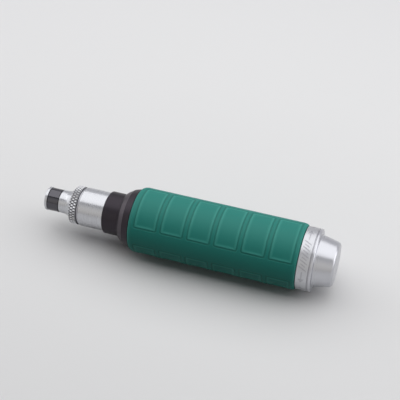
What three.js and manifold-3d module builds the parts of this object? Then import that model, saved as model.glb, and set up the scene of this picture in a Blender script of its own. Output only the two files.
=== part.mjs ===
import * as THREE from 'three';
import { mergeVertices } from 'three/addons/utils/BufferGeometryUtils.js';
import Module from 'manifold-3d';

// Hand impact driver, lying on its grip: bit end towards -X, struck end towards +X, up is +Z.
// All lengths are millimetres. A station is a place along the tool, counted from the front
// rim of the grip, and grows towards the struck end. The tool is sized from the inside out:
// the spindle and its fits give the barrel, and the barrel gives the grip.

const { degToRad } = THREE.MathUtils;

// Shared fits and roundness
const seat = 0.3;
const overrun = 2;
const roundSides = 36;
const hiddenSides = 24;
const pinSides = 12;
const ballSides = 10;
const cornerSteps = 3;

// Motion of the blow
const stroke = 8;
const strokeSpare = 1.2;
const twist = degToRad(35);

// Drive spindle
const collarRadius = 12;
const collarEdge = 0.7;
const journalStep = 2;
const flangeThickness = 3;
const tailReach = 0.8;
const tailEdge = 1;
const squareSize = 12.7;
const squareLength = 15.4;
const squareCornerRadius = 8.3;
const squareEdge = 0.8;

// Black nose cap
const noseLength = 7.8;
const noseLip = 0.6;
const noseShoulderRise = 1;
const noseShoulderLength = 1.1;
const noseFlareLength = 2.4;
const noseRidgeEdge = 0.3;
const noseTaper = 1.2;
const noseRimStep = 0.1;
const spigotWall = 1.4;
const spigotSpare = 2.7;
const sealSection = 2;
const sealSetback = 0.7;
const sealSteps = 5;

// Lock screw of the nose cap, and the wall left under a blind hole
const lockScrewRadius = 2;
const lockScrewKeyRadius = 1.1;
const lockScrewKeyDepth = 1.3;
const lockScrewKeySides = 6;
const blindWall = 0.5;

// Snap ring, front bush and bumper
const snapThickness = 1.2;
const snapSection = 1.8;
const snapGrooveDepth = 0.6;
const snapGap = degToRad(26);
const snapLugRadius = 1.5;
const snapHoleRadius = 0.7;
const bushLength = 8;
const bushFlange = 1.8;
const bumperThickness = 1.6;
const bumperEdge = 0.4;

// Cam sleeve, its dowels and the cross pin
const sleeveWall = 4;
const camFrontLand = 1.8;
const camSteps = 6;
const dowelLand = 6;
const dowelRadius = 1.9;
const pinRadius = 2.8;
const pinEdge = 0.5;

// Thrust plate, return spring and its rear seat
const plateThickness = 2.5;
const pilotClearance = 0.6;
const pilotHeight = 2.4;
const springLength = 30;
const springWireRadius = 1.6;
const springSideClearance = 1.3;
const springTurns = 5.5;
const springEndTurns = 1;
const springEndGap = 0.6;
const springSeatThickness = 1.6;

// Steel barrel with its forged head
const barrelWall = 3.4;
const capSeatWall = 2;
const headInset = 2.2;
const ringProud = 1.25;
const ringLength = 6.2;
const ringGrooveWidth = 0.6;
const ringGrooveDepth = 0.5;
const ringEdge = 0.5;
const shoulderLength = 1.5;
const shoulderRounding = 1;
const coneStep = 2.75;
const coneTaper = 2.3;
const coneLength = 10.6;
const coneRounding = 2.4;

// Rubber grip
const gripWall = 2.2;
const gripRimDrop = 1.5;
const gripRearDrop = 1.1;
const rimSteps = 3;
const panelsAlong = 6;
const panelsAround = 3;
const panelFrontMargin = 3.7;
const panelRearMargin = 3.5;
const panelGap = 3.2;
const panelTurn = degToRad(30);
const panelSpan = degToRad(86);
const panelFacets = 5;
const gapFacets = 2;
const beadWidth = 1.1;
const beadFootDepth = 0.35;
const panelDepth = 0.3;

// Detent in the drive square
const detentBallRadius = 1.6;
const detentProud = 0.2;
const detentSetback = 8.5;
const detentPocketDepth = 8.5;
const detentSpringRadius = 1.1;
const detentWireRadius = 0.2;
const detentTurns = 4;

// Bit holder
const hexAcrossFlats = 8.2;
const hexDepth = 16;
const hexMouthEdge = 0.7;
const lipLength = 1.5;
const lipWall = 2;
const lipEdge = 0.5;
const bandSeatLength = 7;
const bandSeatDepth = 1;
const neckLength = 8.4;
const neckWall = 1.8;
const neckFillet = 1.4;
const holderWeb = 4.3;
const holderWall = 2.4;
const holderEdge = 0.5;
const holderGrooveWidth = 1.2;
const holderGrooveDepth = 1.2;
const knurlLength = 4.2;
const knurlProud = 0.1;
const knurlDepth = 0.35;
const knurlTeeth = 48;
const knurlLean = degToRad(13);
const socketSpare = 0.5;
const punchHoleRadius = 2.5;

// Bit retainer
const bandThickness = 0.5;
const bandSlit = degToRad(14);
const bitBallRadius = 0.95;
const bitBallProud = 0.45;

// Radii that follow, from the spindle out to the grip
const collarBoreRadius = collarRadius + seat;
const journalRadius = collarRadius - journalStep;
const journalBoreRadius = journalRadius + seat;
const capSeatFitRadius = collarBoreRadius + spigotWall;
const capSeatRadius = capSeatFitRadius + seat;
const barrelRadius = capSeatRadius + capSeatWall;
const boreRadius = barrelRadius - barrelWall;
const boreFitRadius = boreRadius - seat;
const gripBoreRadius = barrelRadius + seat;
const gripRadius = gripBoreRadius + gripWall;
const gripRimRadius = gripRadius - gripRimDrop;
const noseRearRadius = gripRimRadius - noseRimStep;
const noseRidgeRadius = noseRearRadius - noseTaper;
const noseMouthRadius = collarBoreRadius + noseLip;
const ringRadius = barrelRadius + ringProud;
const coneBaseRadius = ringRadius - coneStep;
const coneTipRadius = coneBaseRadius - coneTaper;
const sleeveBoreRadius = boreFitRadius - sleeveWall;
const tailRadius = sleeveBoreRadius - seat;
const slotHalfWidth = pinRadius + seat;
const windowInner = tailRadius - slotHalfWidth;
const windowOuter = boreRadius + overrun;
const dowelInner = sleeveBoreRadius + blindWall + seat;
const lockScrewInner = collarBoreRadius + blindWall + seat;
const springMeanRadius = boreRadius - springSideClearance - springWireRadius;
const pilotRadius = springMeanRadius - springWireRadius - pilotClearance;

// Radii and half widths of the bit holder
const squareHalf = squareSize / 2;
const socketHalf = squareHalf + seat;
const socketCornerRadius = squareCornerRadius + seat;
const hexHalf = hexAcrossFlats / 2;
const hexCornerRadius = hexHalf / Math.cos(Math.PI / 6);
const lipRadius = hexCornerRadius + lipWall;
const bandSeatRadius = lipRadius - bandSeatDepth;
const neckRadius = hexCornerRadius + neckWall;
const holderRadius = socketCornerRadius + holderWall;
const holderGrooveRadius = holderRadius - holderGrooveDepth;
const knurlRadius = holderRadius + knurlProud;

// Stations of the nose and what it holds
const noseRear = -seat;
const noseFront = noseRear - noseLength;
const spigotEnd = noseRear + stroke + spigotSpare;
const lockScrewStation = spigotEnd / 2;
const snapFront = spigotEnd + seat;
const snapRear = snapFront + snapThickness;
const bushFront = snapRear + seat;
const bushFlangeRear = bushFront + bushFlange;
const capSeatFloor = bushFlangeRear + seat;
const bushRear = bushFront + bushLength;
const bumperFront = bushRear + seat;
const bumperRear = bumperFront + bumperThickness;

// Stations of the spindle, the cam sleeve and the spring behind it
const collarFront = noseFront - stroke - strokeSpare;
const collarRear = noseRear;
const squareTip = collarFront - squareLength;
const detentStation = collarFront - detentSetback;
const flangeFront = bumperRear + seat;
const flangeRear = flangeFront + flangeThickness;
const sleeveFront = flangeRear + stroke + seat;
const pinStation = sleeveFront + camFrontLand + slotHalfWidth;
const sleeveRear = pinStation + stroke + slotHalfWidth + dowelLand;
const dowelStation = sleeveRear - dowelLand / 2;
const tailEnd = sleeveRear + tailReach;
const plateFront = tailEnd + seat;
const plateRear = plateFront + plateThickness;
const springFront = plateRear + seat;
const springRear = springFront + springLength;
const springSeatFront = springRear + seat;
const springSeatRear = springSeatFront + springSeatThickness;
const boreEnd = springSeatRear + seat;

// Stations of the grip and the forged head
const gripRear = boreEnd + headInset;
const ringFront = gripRear + seat;
const ringRear = ringFront + ringLength;
const shoulderFront = ringRear + ringGrooveWidth;
const coneFront = shoulderFront + shoulderLength;
const strikingFace = coneFront + coneLength;

// Stations of the bit holder, from the drive end to the mouth
const holderRear = collarFront - seat;
const socketFloor = squareTip - socketSpare;
const knurlFront = socketFloor - holderWeb;
const knurlRear = knurlFront + knurlLength;
const holderGrooveRear = knurlRear + holderGrooveWidth;
const bandSeatRear = knurlFront - neckLength;
const bandSeatFront = bandSeatRear - bandSeatLength;
const bitBallStation = (bandSeatFront + bandSeatRear) / 2;
const holderMouth = bandSeatFront - lipLength;
const hexFloor = holderMouth + hexDepth;

const wasm = await Module();
wasm.setup();

// Turns a closed geometry into a solid that can be joined and cut.
function toSolid(geometry) {
  const bare = new THREE.BufferGeometry();
  bare.setAttribute('position', geometry.getAttribute('position'));
  bare.setIndex(geometry.getIndex());
  const merged = mergeVertices(bare);
  const corners = merged.getIndex().array;
  const kept = [];
  for (let i = 0; i < corners.length; i += 3) {
    const [a, b, c] = [corners[i], corners[i + 1], corners[i + 2]];
    if (a !== b && b !== c && c !== a) kept.push(a, b, c);
  }
  return new wasm.Manifold(new wasm.Mesh({
    numProp: 3,
    vertProperties: new Float32Array(merged.getAttribute('position').array),
    triVerts: new Uint32Array(kept),
  }));
}

function toGeometry(solid) {
  const result = solid.getMesh();
  const geometry = new THREE.BufferGeometry();
  geometry.setAttribute('position', new THREE.BufferAttribute(result.vertProperties, 3));
  geometry.setIndex(new THREE.BufferAttribute(result.triVerts, 1));
  return geometry;
}

// Revolves an outline of [station, radius] pairs about the tool's axis. The outline runs
// from the bit end to the struck end along the outside, and back along any bore.
function revolve(outline, sides) {
  const profile = outline.map(([station, radius]) => new THREE.Vector2(radius, station));
  const last = outline.length - 1;
  const onAxis = outline[0][1] === 0 && outline[last][1] === 0;
  if (!onAxis) profile.push(profile[0].clone());
  const geometry = new THREE.LatheGeometry(profile, sides);
  geometry.rotateZ(-Math.PI / 2);
  return toSolid(geometry);
}

function axialRod(radius, from, to, sides) {
  const geometry = new THREE.CylinderGeometry(radius, radius, to - from, sides);
  geometry.rotateZ(-Math.PI / 2);
  geometry.translate((from + to) / 2, 0, 0);
  return toSolid(geometry);
}

// A rod that stands square to the tool's axis. Angle 0 points up, and the angle turns
// about +X by the right-hand rule.
function radialRod(radius, inner, outer, station, angle, sides) {
  const geometry = new THREE.CylinderGeometry(radius, radius, outer - inner, sides);
  geometry.rotateX(Math.PI / 2);
  geometry.translate(station, 0, (inner + outer) / 2);
  geometry.rotateX(angle);
  return toSolid(geometry);
}

// The same rod with its two ends chamfered, as dowels and pins have them.
function chamferedRod(radius, inner, outer, station, angle) {
  const geometry = new THREE.LatheGeometry([
    new THREE.Vector2(0, inner),
    new THREE.Vector2(radius - pinEdge, inner),
    new THREE.Vector2(radius, inner + pinEdge),
    new THREE.Vector2(radius, outer - pinEdge),
    new THREE.Vector2(radius - pinEdge, outer),
    new THREE.Vector2(0, outer),
  ], pinSides);
  geometry.rotateX(Math.PI / 2);
  geometry.translate(station, 0, 0);
  geometry.rotateX(angle);
  return toSolid(geometry);
}

// An arc of outline points about (station, radius), with the angles counted from +X.
function arc(station, radius, size, from, to, steps) {
  return Array.from({ length: steps + 1 }, (_, i) => {
    const angle = from + ((to - from) * i) / steps;
    return [station + size * Math.cos(angle), radius + size * Math.sin(angle)];
  });
}

// Skins a stack of rings with equally many points, and closes both ends with a fan. Each
// ring runs counterclockwise for an eye that looks back along the stack.
function skinRings(rings) {
  const count = rings[0].length;
  const points = rings.flat();
  const index = [];
  for (let i = 0; i < rings.length - 1; i += 1) {
    for (let j = 0; j < count; j += 1) {
      const a = i * count + j;
      const b = i * count + ((j + 1) % count);
      index.push(a, b, a + count, b, b + count, a + count);
    }
  }
  const ends = [0, (rings.length - 1) * count];
  ends.forEach((start, end) => {
    const centre = new THREE.Vector3();
    rings[start / count].forEach((point) => centre.add(point));
    points.push(centre.divideScalar(count));
    const middle = points.length - 1;
    for (let j = 0; j < count; j += 1) {
      const a = start + j;
      const b = start + ((j + 1) % count);
      if (end === 0) index.push(b, a, middle);
      else index.push(a, b, middle);
    }
  });
  return meshData(points, index);
}

// Skins closed loops that themselves go once round and meet, as the wall of a sleeve does.
function skinLoops(loops) {
  const count = loops[0].length;
  const index = [];
  loops.forEach((_, i) => {
    const next = (i + 1) % loops.length;
    for (let j = 0; j < count; j += 1) {
      const k = (j + 1) % count;
      const [a, b] = [i * count + j, i * count + k];
      const [c, d] = [next * count + j, next * count + k];
      index.push(a, b, c, b, d, c);
    }
  });
  return meshData(loops.flat(), index);
}

function meshData(points, index) {
  const geometry = new THREE.BufferGeometry();
  const flat = points.flatMap((point) => [point.x, point.y, point.z]);
  geometry.setAttribute('position', new THREE.Float32BufferAttribute(flat, 3));
  geometry.setIndex(index);
  return geometry;
}

// Finishes of the pieces
function finish(color, roughness, metalness) {
  return new THREE.MeshStandardMaterial({ color, roughness, metalness });
}
const forgedSteel = () => finish(0xc9cacc, 0.34, 1);
const chromedSteel = () => finish(0xd4d5d8, 0.24, 1);
const blackenedSteel = () => finish(0x2d2930, 0.5, 0.6);
const hardenedSteel = () => finish(0x8d8f93, 0.35, 1);
const springSteel = () => finish(0x6c6f75, 0.4, 1);
const bronze = () => finish(0xb08a4e, 0.4, 1);
const greenRubber = () => finish(0x2f786c, 0.7, 0);
const blackRubber = () => finish(0x1c1c1e, 0.8, 0);
const blackBand = () => finish(0x1a191b, 0.25, 0.3);

const tool = new THREE.Group();
function add(name, solid, material) {
  const geometry = solid.isBufferGeometry ? solid : toGeometry(solid);
  const mesh = new THREE.Mesh(geometry, material);
  mesh.name = name;
  tool.add(mesh);
}

// Barrel, ring, shoulder and striking cone are one forging, bored from the front.
function makeBarrel() {
  const coneSlope = Math.atan2(coneBaseRadius - coneTipRadius, coneLength);
  const noseOfCone = arc(
    strikingFace - coneRounding, coneTipRadius - coneRounding, coneRounding,
    Math.PI / 2 - coneSlope, 0, cornerSteps,
  );
  const shoulderCorner = arc(
    coneFront - shoulderRounding, ringRadius - shoulderRounding, shoulderRounding,
    Math.PI / 2, 0, cornerSteps,
  );
  const grooveFloor = ringRadius - ringGrooveDepth;
  const body = revolve([
    [0, capSeatRadius],
    [0, barrelRadius],
    [ringFront, barrelRadius],
    [ringFront, ringRadius - ringEdge],
    [ringFront + ringEdge, ringRadius],
    [ringRear, ringRadius],
    [ringRear, grooveFloor],
    [shoulderFront, grooveFloor],
    [shoulderFront, ringRadius],
    ...shoulderCorner,
    [coneFront, coneBaseRadius],
    ...noseOfCone,
    [strikingFace, 0],
    [boreEnd, 0],
    [boreEnd, boreRadius],
    [capSeatFloor, boreRadius],
    [capSeatFloor, capSeatRadius],
    [bushFront, capSeatRadius],
    [bushFront, capSeatRadius + snapGrooveDepth],
    [spigotEnd, capSeatRadius + snapGrooveDepth],
    [spigotEnd, capSeatRadius],
  ], roundSides);
  return body.subtract(dowelHole(0)).subtract(dowelHole(1)).subtract(lockScrewHole());
}

function dowelAngle(side) {
  return Math.PI / 2 + side * Math.PI;
}

function dowelHole(side) {
  const outer = barrelRadius + overrun;
  return radialRod(
    dowelRadius + seat, dowelInner - seat, outer, dowelStation, dowelAngle(side), pinSides,
  );
}

function lockScrewHole() {
  const inner = lockScrewInner - seat;
  const outer = barrelRadius + overrun;
  return radialRod(lockScrewRadius + seat, inner, outer, lockScrewStation, Math.PI, pinSides);
}

// The grip's outside is a lattice of lines along and around it. Each panel has a foot line,
// a bead and a sunken floor, and the plain rubber between panels stands level with the bead.
function gripLinesAlong() {
  const room = gripRear - panelFrontMargin - panelRearMargin - (panelsAlong - 1) * panelGap;
  const panelLength = room / panelsAlong;
  const lines = [];
  for (let i = 0; i < panelsAlong; i += 1) {
    const start = panelFrontMargin + i * (panelLength + panelGap);
    const end = start + panelLength;
    if (i > 0) lines.push([start - panelGap / 2, 'plain']);
    lines.push([start, 'foot'], [start + beadWidth / 2, 'bead'], [start + beadWidth, 'floor']);
    lines.push([end - beadWidth, 'floor'], [end - beadWidth / 2, 'bead'], [end, 'foot']);
  }
  return lines;
}

function gripLinesAround() {
  const beadAngle = beadWidth / gripRadius;
  const pitch = (2 * Math.PI) / panelsAround;
  const gap = pitch - panelSpan - beadAngle;
  const lines = [];
  for (let i = 0; i < panelsAround; i += 1) {
    const start = panelTurn + i * pitch;
    const end = start + panelSpan;
    lines.push([start, 'foot'], [start + beadAngle / 2, 'bead']);
    for (let k = 0; k <= panelFacets; k += 1) {
      lines.push([start + beadAngle + ((panelSpan - 2 * beadAngle) * k) / panelFacets, 'floor']);
    }
    lines.push([end - beadAngle / 2, 'bead'], [end, 'foot']);
    for (let k = 0; k <= gapFacets; k += 1) {
      lines.push([end + beadAngle / 2 + (gap * k) / gapFacets, 'plain']);
    }
  }
  return lines;
}

function gripLevel(along, around) {
  if (along === 'plain' || around === 'plain') return gripRadius;
  if (along === 'foot' || around === 'foot') return gripRadius - beadFootDepth;
  if (along === 'bead' || around === 'bead') return gripRadius;
  return gripRadius - panelDepth;
}

function makeGrip() {
  const along = gripLinesAlong();
  const panelsFront = panelFrontMargin - beadWidth / 2;
  const panelsRear = gripRear - panelRearMargin + beadWidth / 2;
  return skinLoops(gripLinesAround().map(([angle, around]) => {
    const place = (station, radius) => new THREE.Vector3(
      station, -radius * Math.cos(angle), radius * Math.sin(angle),
    );
    const loop = [place(0, gripBoreRadius), place(0, gripRimRadius)];
    for (let i = 1; i < rimSteps; i += 1) {
      const turn = (Math.PI / 2) * (i / rimSteps);
      const station = panelsFront * (1 - Math.cos(turn));
      loop.push(place(station, gripRimRadius + gripRimDrop * Math.sin(turn)));
    }
    loop.push(place(panelsFront, gripRadius));
    along.forEach(([station, kind]) => loop.push(place(station, gripLevel(kind, around))));
    loop.push(place(panelsRear, gripRadius));
    loop.push(place(gripRear, gripRadius - gripRearDrop), place(gripRear, gripBoreRadius));
    return loop;
  }));
}

// The nose cap flares back to the grip, and its spigot screws into the barrel.
function makeNoseCap() {
  const sealOuter = collarBoreRadius + sealSection + seat;
  const sealRear = noseRear - sealSetback;
  const sealFront = sealRear - sealSection - 2 * seat;
  const shoulder = noseFront + noseShoulderLength;
  const ridge = shoulder + noseFlareLength;
  const body = revolve([
    [noseFront, collarBoreRadius],
    [noseFront, noseMouthRadius],
    [shoulder, noseMouthRadius + noseShoulderRise],
    [ridge, noseRidgeRadius - noseRidgeEdge],
    [ridge + noseRidgeEdge, noseRidgeRadius],
    [noseRear, noseRearRadius],
    [noseRear, capSeatFitRadius],
    [spigotEnd - collarEdge, capSeatFitRadius],
    [spigotEnd, capSeatFitRadius - collarEdge],
    [spigotEnd, collarBoreRadius],
    [sealRear, collarBoreRadius],
    [sealRear, sealOuter],
    [sealFront, sealOuter],
    [sealFront, collarBoreRadius],
  ], roundSides);
  return body.subtract(lockScrewHole());
}

function makeNoseSeal() {
  const centre = collarBoreRadius + sealSection / 2;
  const station = noseRear - sealSetback - seat - sealSection / 2;
  const section = arc(station, centre, sealSection / 2, Math.PI, -Math.PI * (2 / 3), sealSteps);
  return revolve(section, hiddenSides);
}

// A headless screw with a key hole, under the grip.
function makeLockScrew() {
  const outer = barrelRadius - seat;
  const body = radialRod(
    lockScrewRadius, lockScrewInner, outer, lockScrewStation, Math.PI, pinSides,
  );
  const key = radialRod(
    lockScrewKeyRadius, outer - lockScrewKeyDepth, outer + overrun, lockScrewStation, Math.PI,
    lockScrewKeySides,
  );
  return body.subtract(key);
}

// An open spring ring with a drilled lug at each end.
function makeSnapRing() {
  const outer = capSeatRadius + snapGrooveDepth - seat;
  const inner = outer - snapSection;
  const outline = new THREE.Shape();
  outline.absarc(0, 0, outer, snapGap / 2, 2 * Math.PI - snapGap / 2, false);
  outline.absarc(0, 0, inner, 2 * Math.PI - snapGap / 2, snapGap / 2, true);
  const plate = { depth: snapThickness, bevelEnabled: false, curveSegments: roundSides / 3 };
  const lugPlace = inner - snapLugRadius / 3;
  const ends = [snapGap / 2, -snapGap / 2];
  const lugs = ends.map((angle) => {
    const lug = new THREE.Shape();
    lug.absarc(0, 0, snapLugRadius, 0, 2 * Math.PI, false);
    const geometry = new THREE.ExtrudeGeometry(lug, { ...plate, curveSegments: ballSides / 2 });
    const turn = angle + Math.sign(angle) * (snapLugRadius / lugPlace);
    geometry.translate(lugPlace * Math.cos(turn), lugPlace * Math.sin(turn), 0);
    return toSolid(geometry);
  });
  const holes = ends.map((angle) => {
    const hole = new THREE.CylinderGeometry(
      snapHoleRadius, snapHoleRadius, snapThickness + 2 * overrun, ballSides / 2,
    );
    hole.rotateX(Math.PI / 2);
    const turn = angle + Math.sign(angle) * (snapLugRadius / lugPlace);
    hole.translate(lugPlace * Math.cos(turn), lugPlace * Math.sin(turn), snapThickness / 2);
    return toSolid(hole);
  });
  let ring = toSolid(new THREE.ExtrudeGeometry(outline, plate));
  lugs.forEach((lug) => { ring = ring.add(lug); });
  holes.forEach((hole) => { ring = ring.subtract(hole); });
  const geometry = toGeometry(ring);
  geometry.rotateY(Math.PI / 2);
  geometry.translate(snapFront, 0, 0);
  return geometry;
}

function makeFrontBush() {
  return revolve([
    [bushFront, journalBoreRadius],
    [bushFront, capSeatFitRadius],
    [bushFlangeRear, capSeatFitRadius],
    [bushFlangeRear, boreFitRadius],
    [bushRear, boreFitRadius],
    [bushRear, journalBoreRadius],
  ], hiddenSides);
}

function makeBumper() {
  return revolve([
    [bumperFront, journalBoreRadius],
    [bumperFront, boreFitRadius - bumperEdge],
    [bumperFront + bumperEdge, boreFitRadius],
    [bumperRear - bumperEdge, boreFitRadius],
    [bumperRear, boreFitRadius - bumperEdge],
    [bumperRear, journalBoreRadius],
  ], hiddenSides);
}

// One arm of a cam window: the path of a milling cutter that turns with the spindle as it
// moves back by the stroke. Side +1 is the arm that loosens, -1 the arm that tightens.
function camArm(window, side) {
  const meanRadius = (tailRadius + boreRadius) / 2;
  const lean = Math.atan2(twist * meanRadius, stroke) * side;
  const rings = Array.from({ length: camSteps + 1 }, (_, i) => {
    const share = i / camSteps;
    const angle = window + side * twist * share;
    const out = new THREE.Vector3(0, -Math.sin(angle), Math.cos(angle));
    const round = new THREE.Vector3(0, -Math.cos(angle), -Math.sin(angle));
    const across = round.multiplyScalar(Math.cos(lean));
    across.x = -Math.sin(lean);
    const corner = (reach, edge) => {
      const point = out.clone().multiplyScalar(reach).addScaledVector(across, edge * slotHalfWidth);
      point.x += pinStation + stroke * share;
      return point;
    };
    return [
      corner(windowInner, -1), corner(windowOuter, -1), corner(windowOuter, 1), corner(windowInner, 1),
    ];
  });
  const end = radialRod(
    slotHalfWidth, windowInner, windowOuter, pinStation + stroke, window + side * twist, pinSides,
  );
  return toSolid(skinRings(rings)).add(end);
}

// Two opposite V windows let the cross pin run back and round, one arm for each direction.
function makeCamSleeve() {
  let sleeve = revolve([
    [sleeveFront, sleeveBoreRadius],
    [sleeveFront, boreFitRadius],
    [sleeveRear, boreFitRadius],
    [sleeveRear, sleeveBoreRadius],
  ], roundSides);
  [0, Math.PI].forEach((window) => {
    const vertex = radialRod(
      slotHalfWidth, windowInner, windowOuter, pinStation, window, pinSides,
    );
    const arms = camArm(window, 1).add(camArm(window, -1));
    sleeve = sleeve.subtract(arms.add(vertex));
  });
  return sleeve.subtract(dowelHole(0)).subtract(dowelHole(1));
}

function makeDowel(side) {
  const outer = barrelRadius - seat;
  return chamferedRod(dowelRadius, dowelInner, outer, dowelStation, dowelAngle(side));
}

function makeSpringSeat() {
  return revolve([
    [springSeatFront - pilotHeight, 0],
    [springSeatFront - pilotHeight, pilotRadius],
    [springSeatFront, pilotRadius],
    [springSeatFront, boreFitRadius],
    [springSeatRear, boreFitRadius],
    [springSeatRear, 0],
  ], hiddenSides);
}

function makeThrustPlate() {
  return revolve([
    [plateFront, 0],
    [plateFront, boreFitRadius],
    [plateRear, boreFitRadius],
    [plateRear, pilotRadius],
    [plateRear + pilotHeight, pilotRadius],
    [plateRear + pilotHeight, 0],
  ], hiddenSides);
}

// A helix of round wire whose end turns lie close, as on a compression spring. It is built
// along +X from zero, and the least gap between two turns is returned with it.
function helix(length, meanRadius, wireRadius, turns, endTurns, endGap) {
  const stepsPerTurn = 8;
  const wireSides = 5;
  const rise = length - 2 * wireRadius;
  const endPitch = Math.min(2 * wireRadius + endGap, rise / turns);
  const openPitch = (rise - 2 * endTurns * endPitch) / (turns - 2 * endTurns);
  const steps = Math.round(turns * stepsPerTurn);
  const axialPlace = (turn) => {
    const fromEnd = Math.min(turn, endTurns) + Math.max(0, turn - (turns - endTurns));
    return wireRadius + fromEnd * endPitch + (turn - fromEnd) * openPitch;
  };
  const rings = Array.from({ length: steps + 1 }, (_, i) => {
    const turn = (turns * i) / steps;
    const angle = 2 * Math.PI * turn;
    return Array.from({ length: wireSides }, (__, k) => {
      const round = (2 * Math.PI * k) / wireSides;
      const radius = meanRadius + wireRadius * Math.cos(round);
      const station = axialPlace(turn) + wireRadius * Math.sin(round);
      return new THREE.Vector3(station, radius * Math.sin(angle), radius * Math.cos(angle));
    });
  });
  return { geometry: skinRings(rings), gap: Math.min(endPitch, openPitch) - 2 * wireRadius };
}

function makeReturnSpring() {
  const spring = helix(
    springLength, springMeanRadius, springWireRadius, springTurns, springEndTurns, springEndGap,
  );
  console.log(`return spring, least gap between turns ${spring.gap.toFixed(2)} mm`);
  spring.geometry.translate(springFront, 0, 0);
  return spring.geometry;
}

// Spindle: drive square, collar, journal, stop flange and the tail that carries the pin.
function makeSpindle() {
  let spindle = revolve([
    [collarFront, 0],
    [collarFront, collarRadius - collarEdge],
    [collarFront + collarEdge, collarRadius],
    [collarRear, collarRadius],
    [collarRear, journalRadius],
    [flangeFront, journalRadius],
    [flangeFront, boreFitRadius],
    [flangeRear, boreFitRadius],
    [flangeRear, tailRadius],
    [tailEnd - tailEdge, tailRadius],
    [tailEnd, tailRadius - tailEdge],
    [tailEnd, 0],
  ], roundSides);
  spindle = spindle.add(squareBar(squareHalf, squareCornerRadius, squareTip, collarRear, squareEdge));
  spindle = spindle.subtract(radialRod(
    pinRadius + seat, -tailRadius - overrun, tailRadius + overrun, pinStation, 0, pinSides,
  ));
  const pocketFloor = squareHalf - detentPocketDepth;
  return spindle.subtract(radialRod(
    detentBallRadius + seat, pocketFloor, squareHalf + overrun, detentStation, 0, pinSides,
  ));
}

// A square bar along the tool with its corners turned down, chamfered at its front end.
function squareBar(half, cornerRadius, from, to, edge) {
  const bar = new THREE.BoxGeometry(to - from, 2 * half, 2 * half);
  bar.translate((from + to) / 2, 0, 0);
  const turned = revolve([
    [from, 0],
    [from, cornerRadius - edge],
    [from + edge, cornerRadius],
    [to, cornerRadius],
    [to, 0],
  ], hiddenSides);
  return toSolid(bar).intersect(turned);
}

// The pin goes right through the tail, and both its ends stand in the windows.
function makeCrossPin() {
  const reach = boreFitRadius - seat;
  return chamferedRod(pinRadius, -reach, reach, pinStation, 0);
}

function makeDetentBall() {
  const ball = new THREE.SphereGeometry(detentBallRadius, ballSides, ballSides / 2);
  ball.translate(detentStation, 0, squareHalf + detentProud - detentBallRadius);
  return ball;
}

function makeDetentSpring() {
  const floor = squareHalf - detentPocketDepth + seat;
  const top = squareHalf + detentProud - 2 * detentBallRadius - seat;
  const spring = helix(
    top - floor, detentSpringRadius, detentWireRadius, detentTurns, springEndTurns, springEndGap,
  );
  console.log(`detent spring, least gap between turns ${spring.gap.toFixed(2)} mm`);
  spring.geometry.rotateY(-Math.PI / 2);
  spring.geometry.translate(detentStation, 0, floor);
  return spring.geometry;
}

// Ridges that lean round the holder, as a knurling wheel rolls them.
function knurlRing() {
  const edge = knurlDepth;
  const layers = [
    [knurlFront, 0, knurlRadius - knurlDepth - edge],
    [knurlFront + edge, 0, knurlRadius - knurlDepth],
    [knurlRear - edge, 1, knurlRadius - knurlDepth],
    [knurlRear, 1, knurlRadius - knurlDepth - edge],
  ];
  return toSolid(skinRings(layers.map(([station, share, root]) => (
    Array.from({ length: 2 * knurlTeeth }, (_, i) => {
      const angle = (Math.PI * i) / knurlTeeth + knurlLean * share;
      const radius = root + (i % 2) * knurlDepth;
      return new THREE.Vector3(station, radius * Math.cos(angle), radius * Math.sin(angle));
    })
  ))));
}

// Bit holder: hexagon for the bit in front, square socket for the spindle behind.
function makeHolder() {
  const filletEnd = knurlFront + knurlDepth;
  const fillet = arc(
    filletEnd - neckFillet, neckRadius + neckFillet, neckFillet, -Math.PI / 2, 0, cornerSteps,
  );
  let holder = revolve([
    [holderMouth, 0],
    [holderMouth, lipRadius - lipEdge],
    [holderMouth + lipEdge, lipRadius],
    [bandSeatFront, lipRadius],
    [bandSeatFront, bandSeatRadius],
    [bandSeatRear, bandSeatRadius],
    [bandSeatRear, neckRadius],
    ...fillet,
    [filletEnd, holderGrooveRadius],
    [holderGrooveRear, holderGrooveRadius],
    [holderGrooveRear, holderRadius - holderEdge],
    [holderGrooveRear + holderEdge, holderRadius],
    [holderRear - holderEdge, holderRadius],
    [holderRear, holderRadius - holderEdge],
    [holderRear, 0],
  ], roundSides);
  holder = holder.add(knurlRing());
  holder = holder.subtract(hexBore());
  holder = holder.subtract(
    squareBar(socketHalf, socketCornerRadius, socketFloor, holderRear + overrun, squareEdge),
  );
  holder = holder.subtract(
    axialRod(punchHoleRadius, hexFloor - overrun, socketFloor + overrun, pinSides),
  );
  for (let i = 0; i < 4; i += 1) holder = holder.subtract(dimple((i * Math.PI) / 2));
  return holder.subtract(radialRod(
    bitBallRadius + seat, 0, lipRadius + overrun, bitBallStation, 0, ballSides,
  ));
}

// The hexagon has a flat on top, so that the bit ball presses on a flat of the bit.
function hexBore() {
  const prism = (rearRadius, frontRadius, length) => {
    const geometry = new THREE.CylinderGeometry(
      rearRadius, frontRadius, length, 6, 1, false, Math.PI / 6,
    );
    geometry.rotateZ(-Math.PI / 2);
    geometry.translate(holderMouth - overrun + length / 2, 0, 0);
    return toSolid(geometry);
  };
  const flare = hexMouthEdge + overrun;
  const bore = prism(hexCornerRadius, hexCornerRadius, hexDepth + overrun);
  return bore.add(prism(hexCornerRadius, hexCornerRadius + flare, flare));
}

// A shallow hollow in a socket wall, where the detent ball sits.
function dimple(angle) {
  const hollow = new THREE.SphereGeometry(detentBallRadius + seat, ballSides, ballSides / 2);
  hollow.translate(detentStation, 0, socketHalf - detentBallRadius / 2);
  hollow.rotateX(angle);
  return toSolid(hollow);
}

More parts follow.
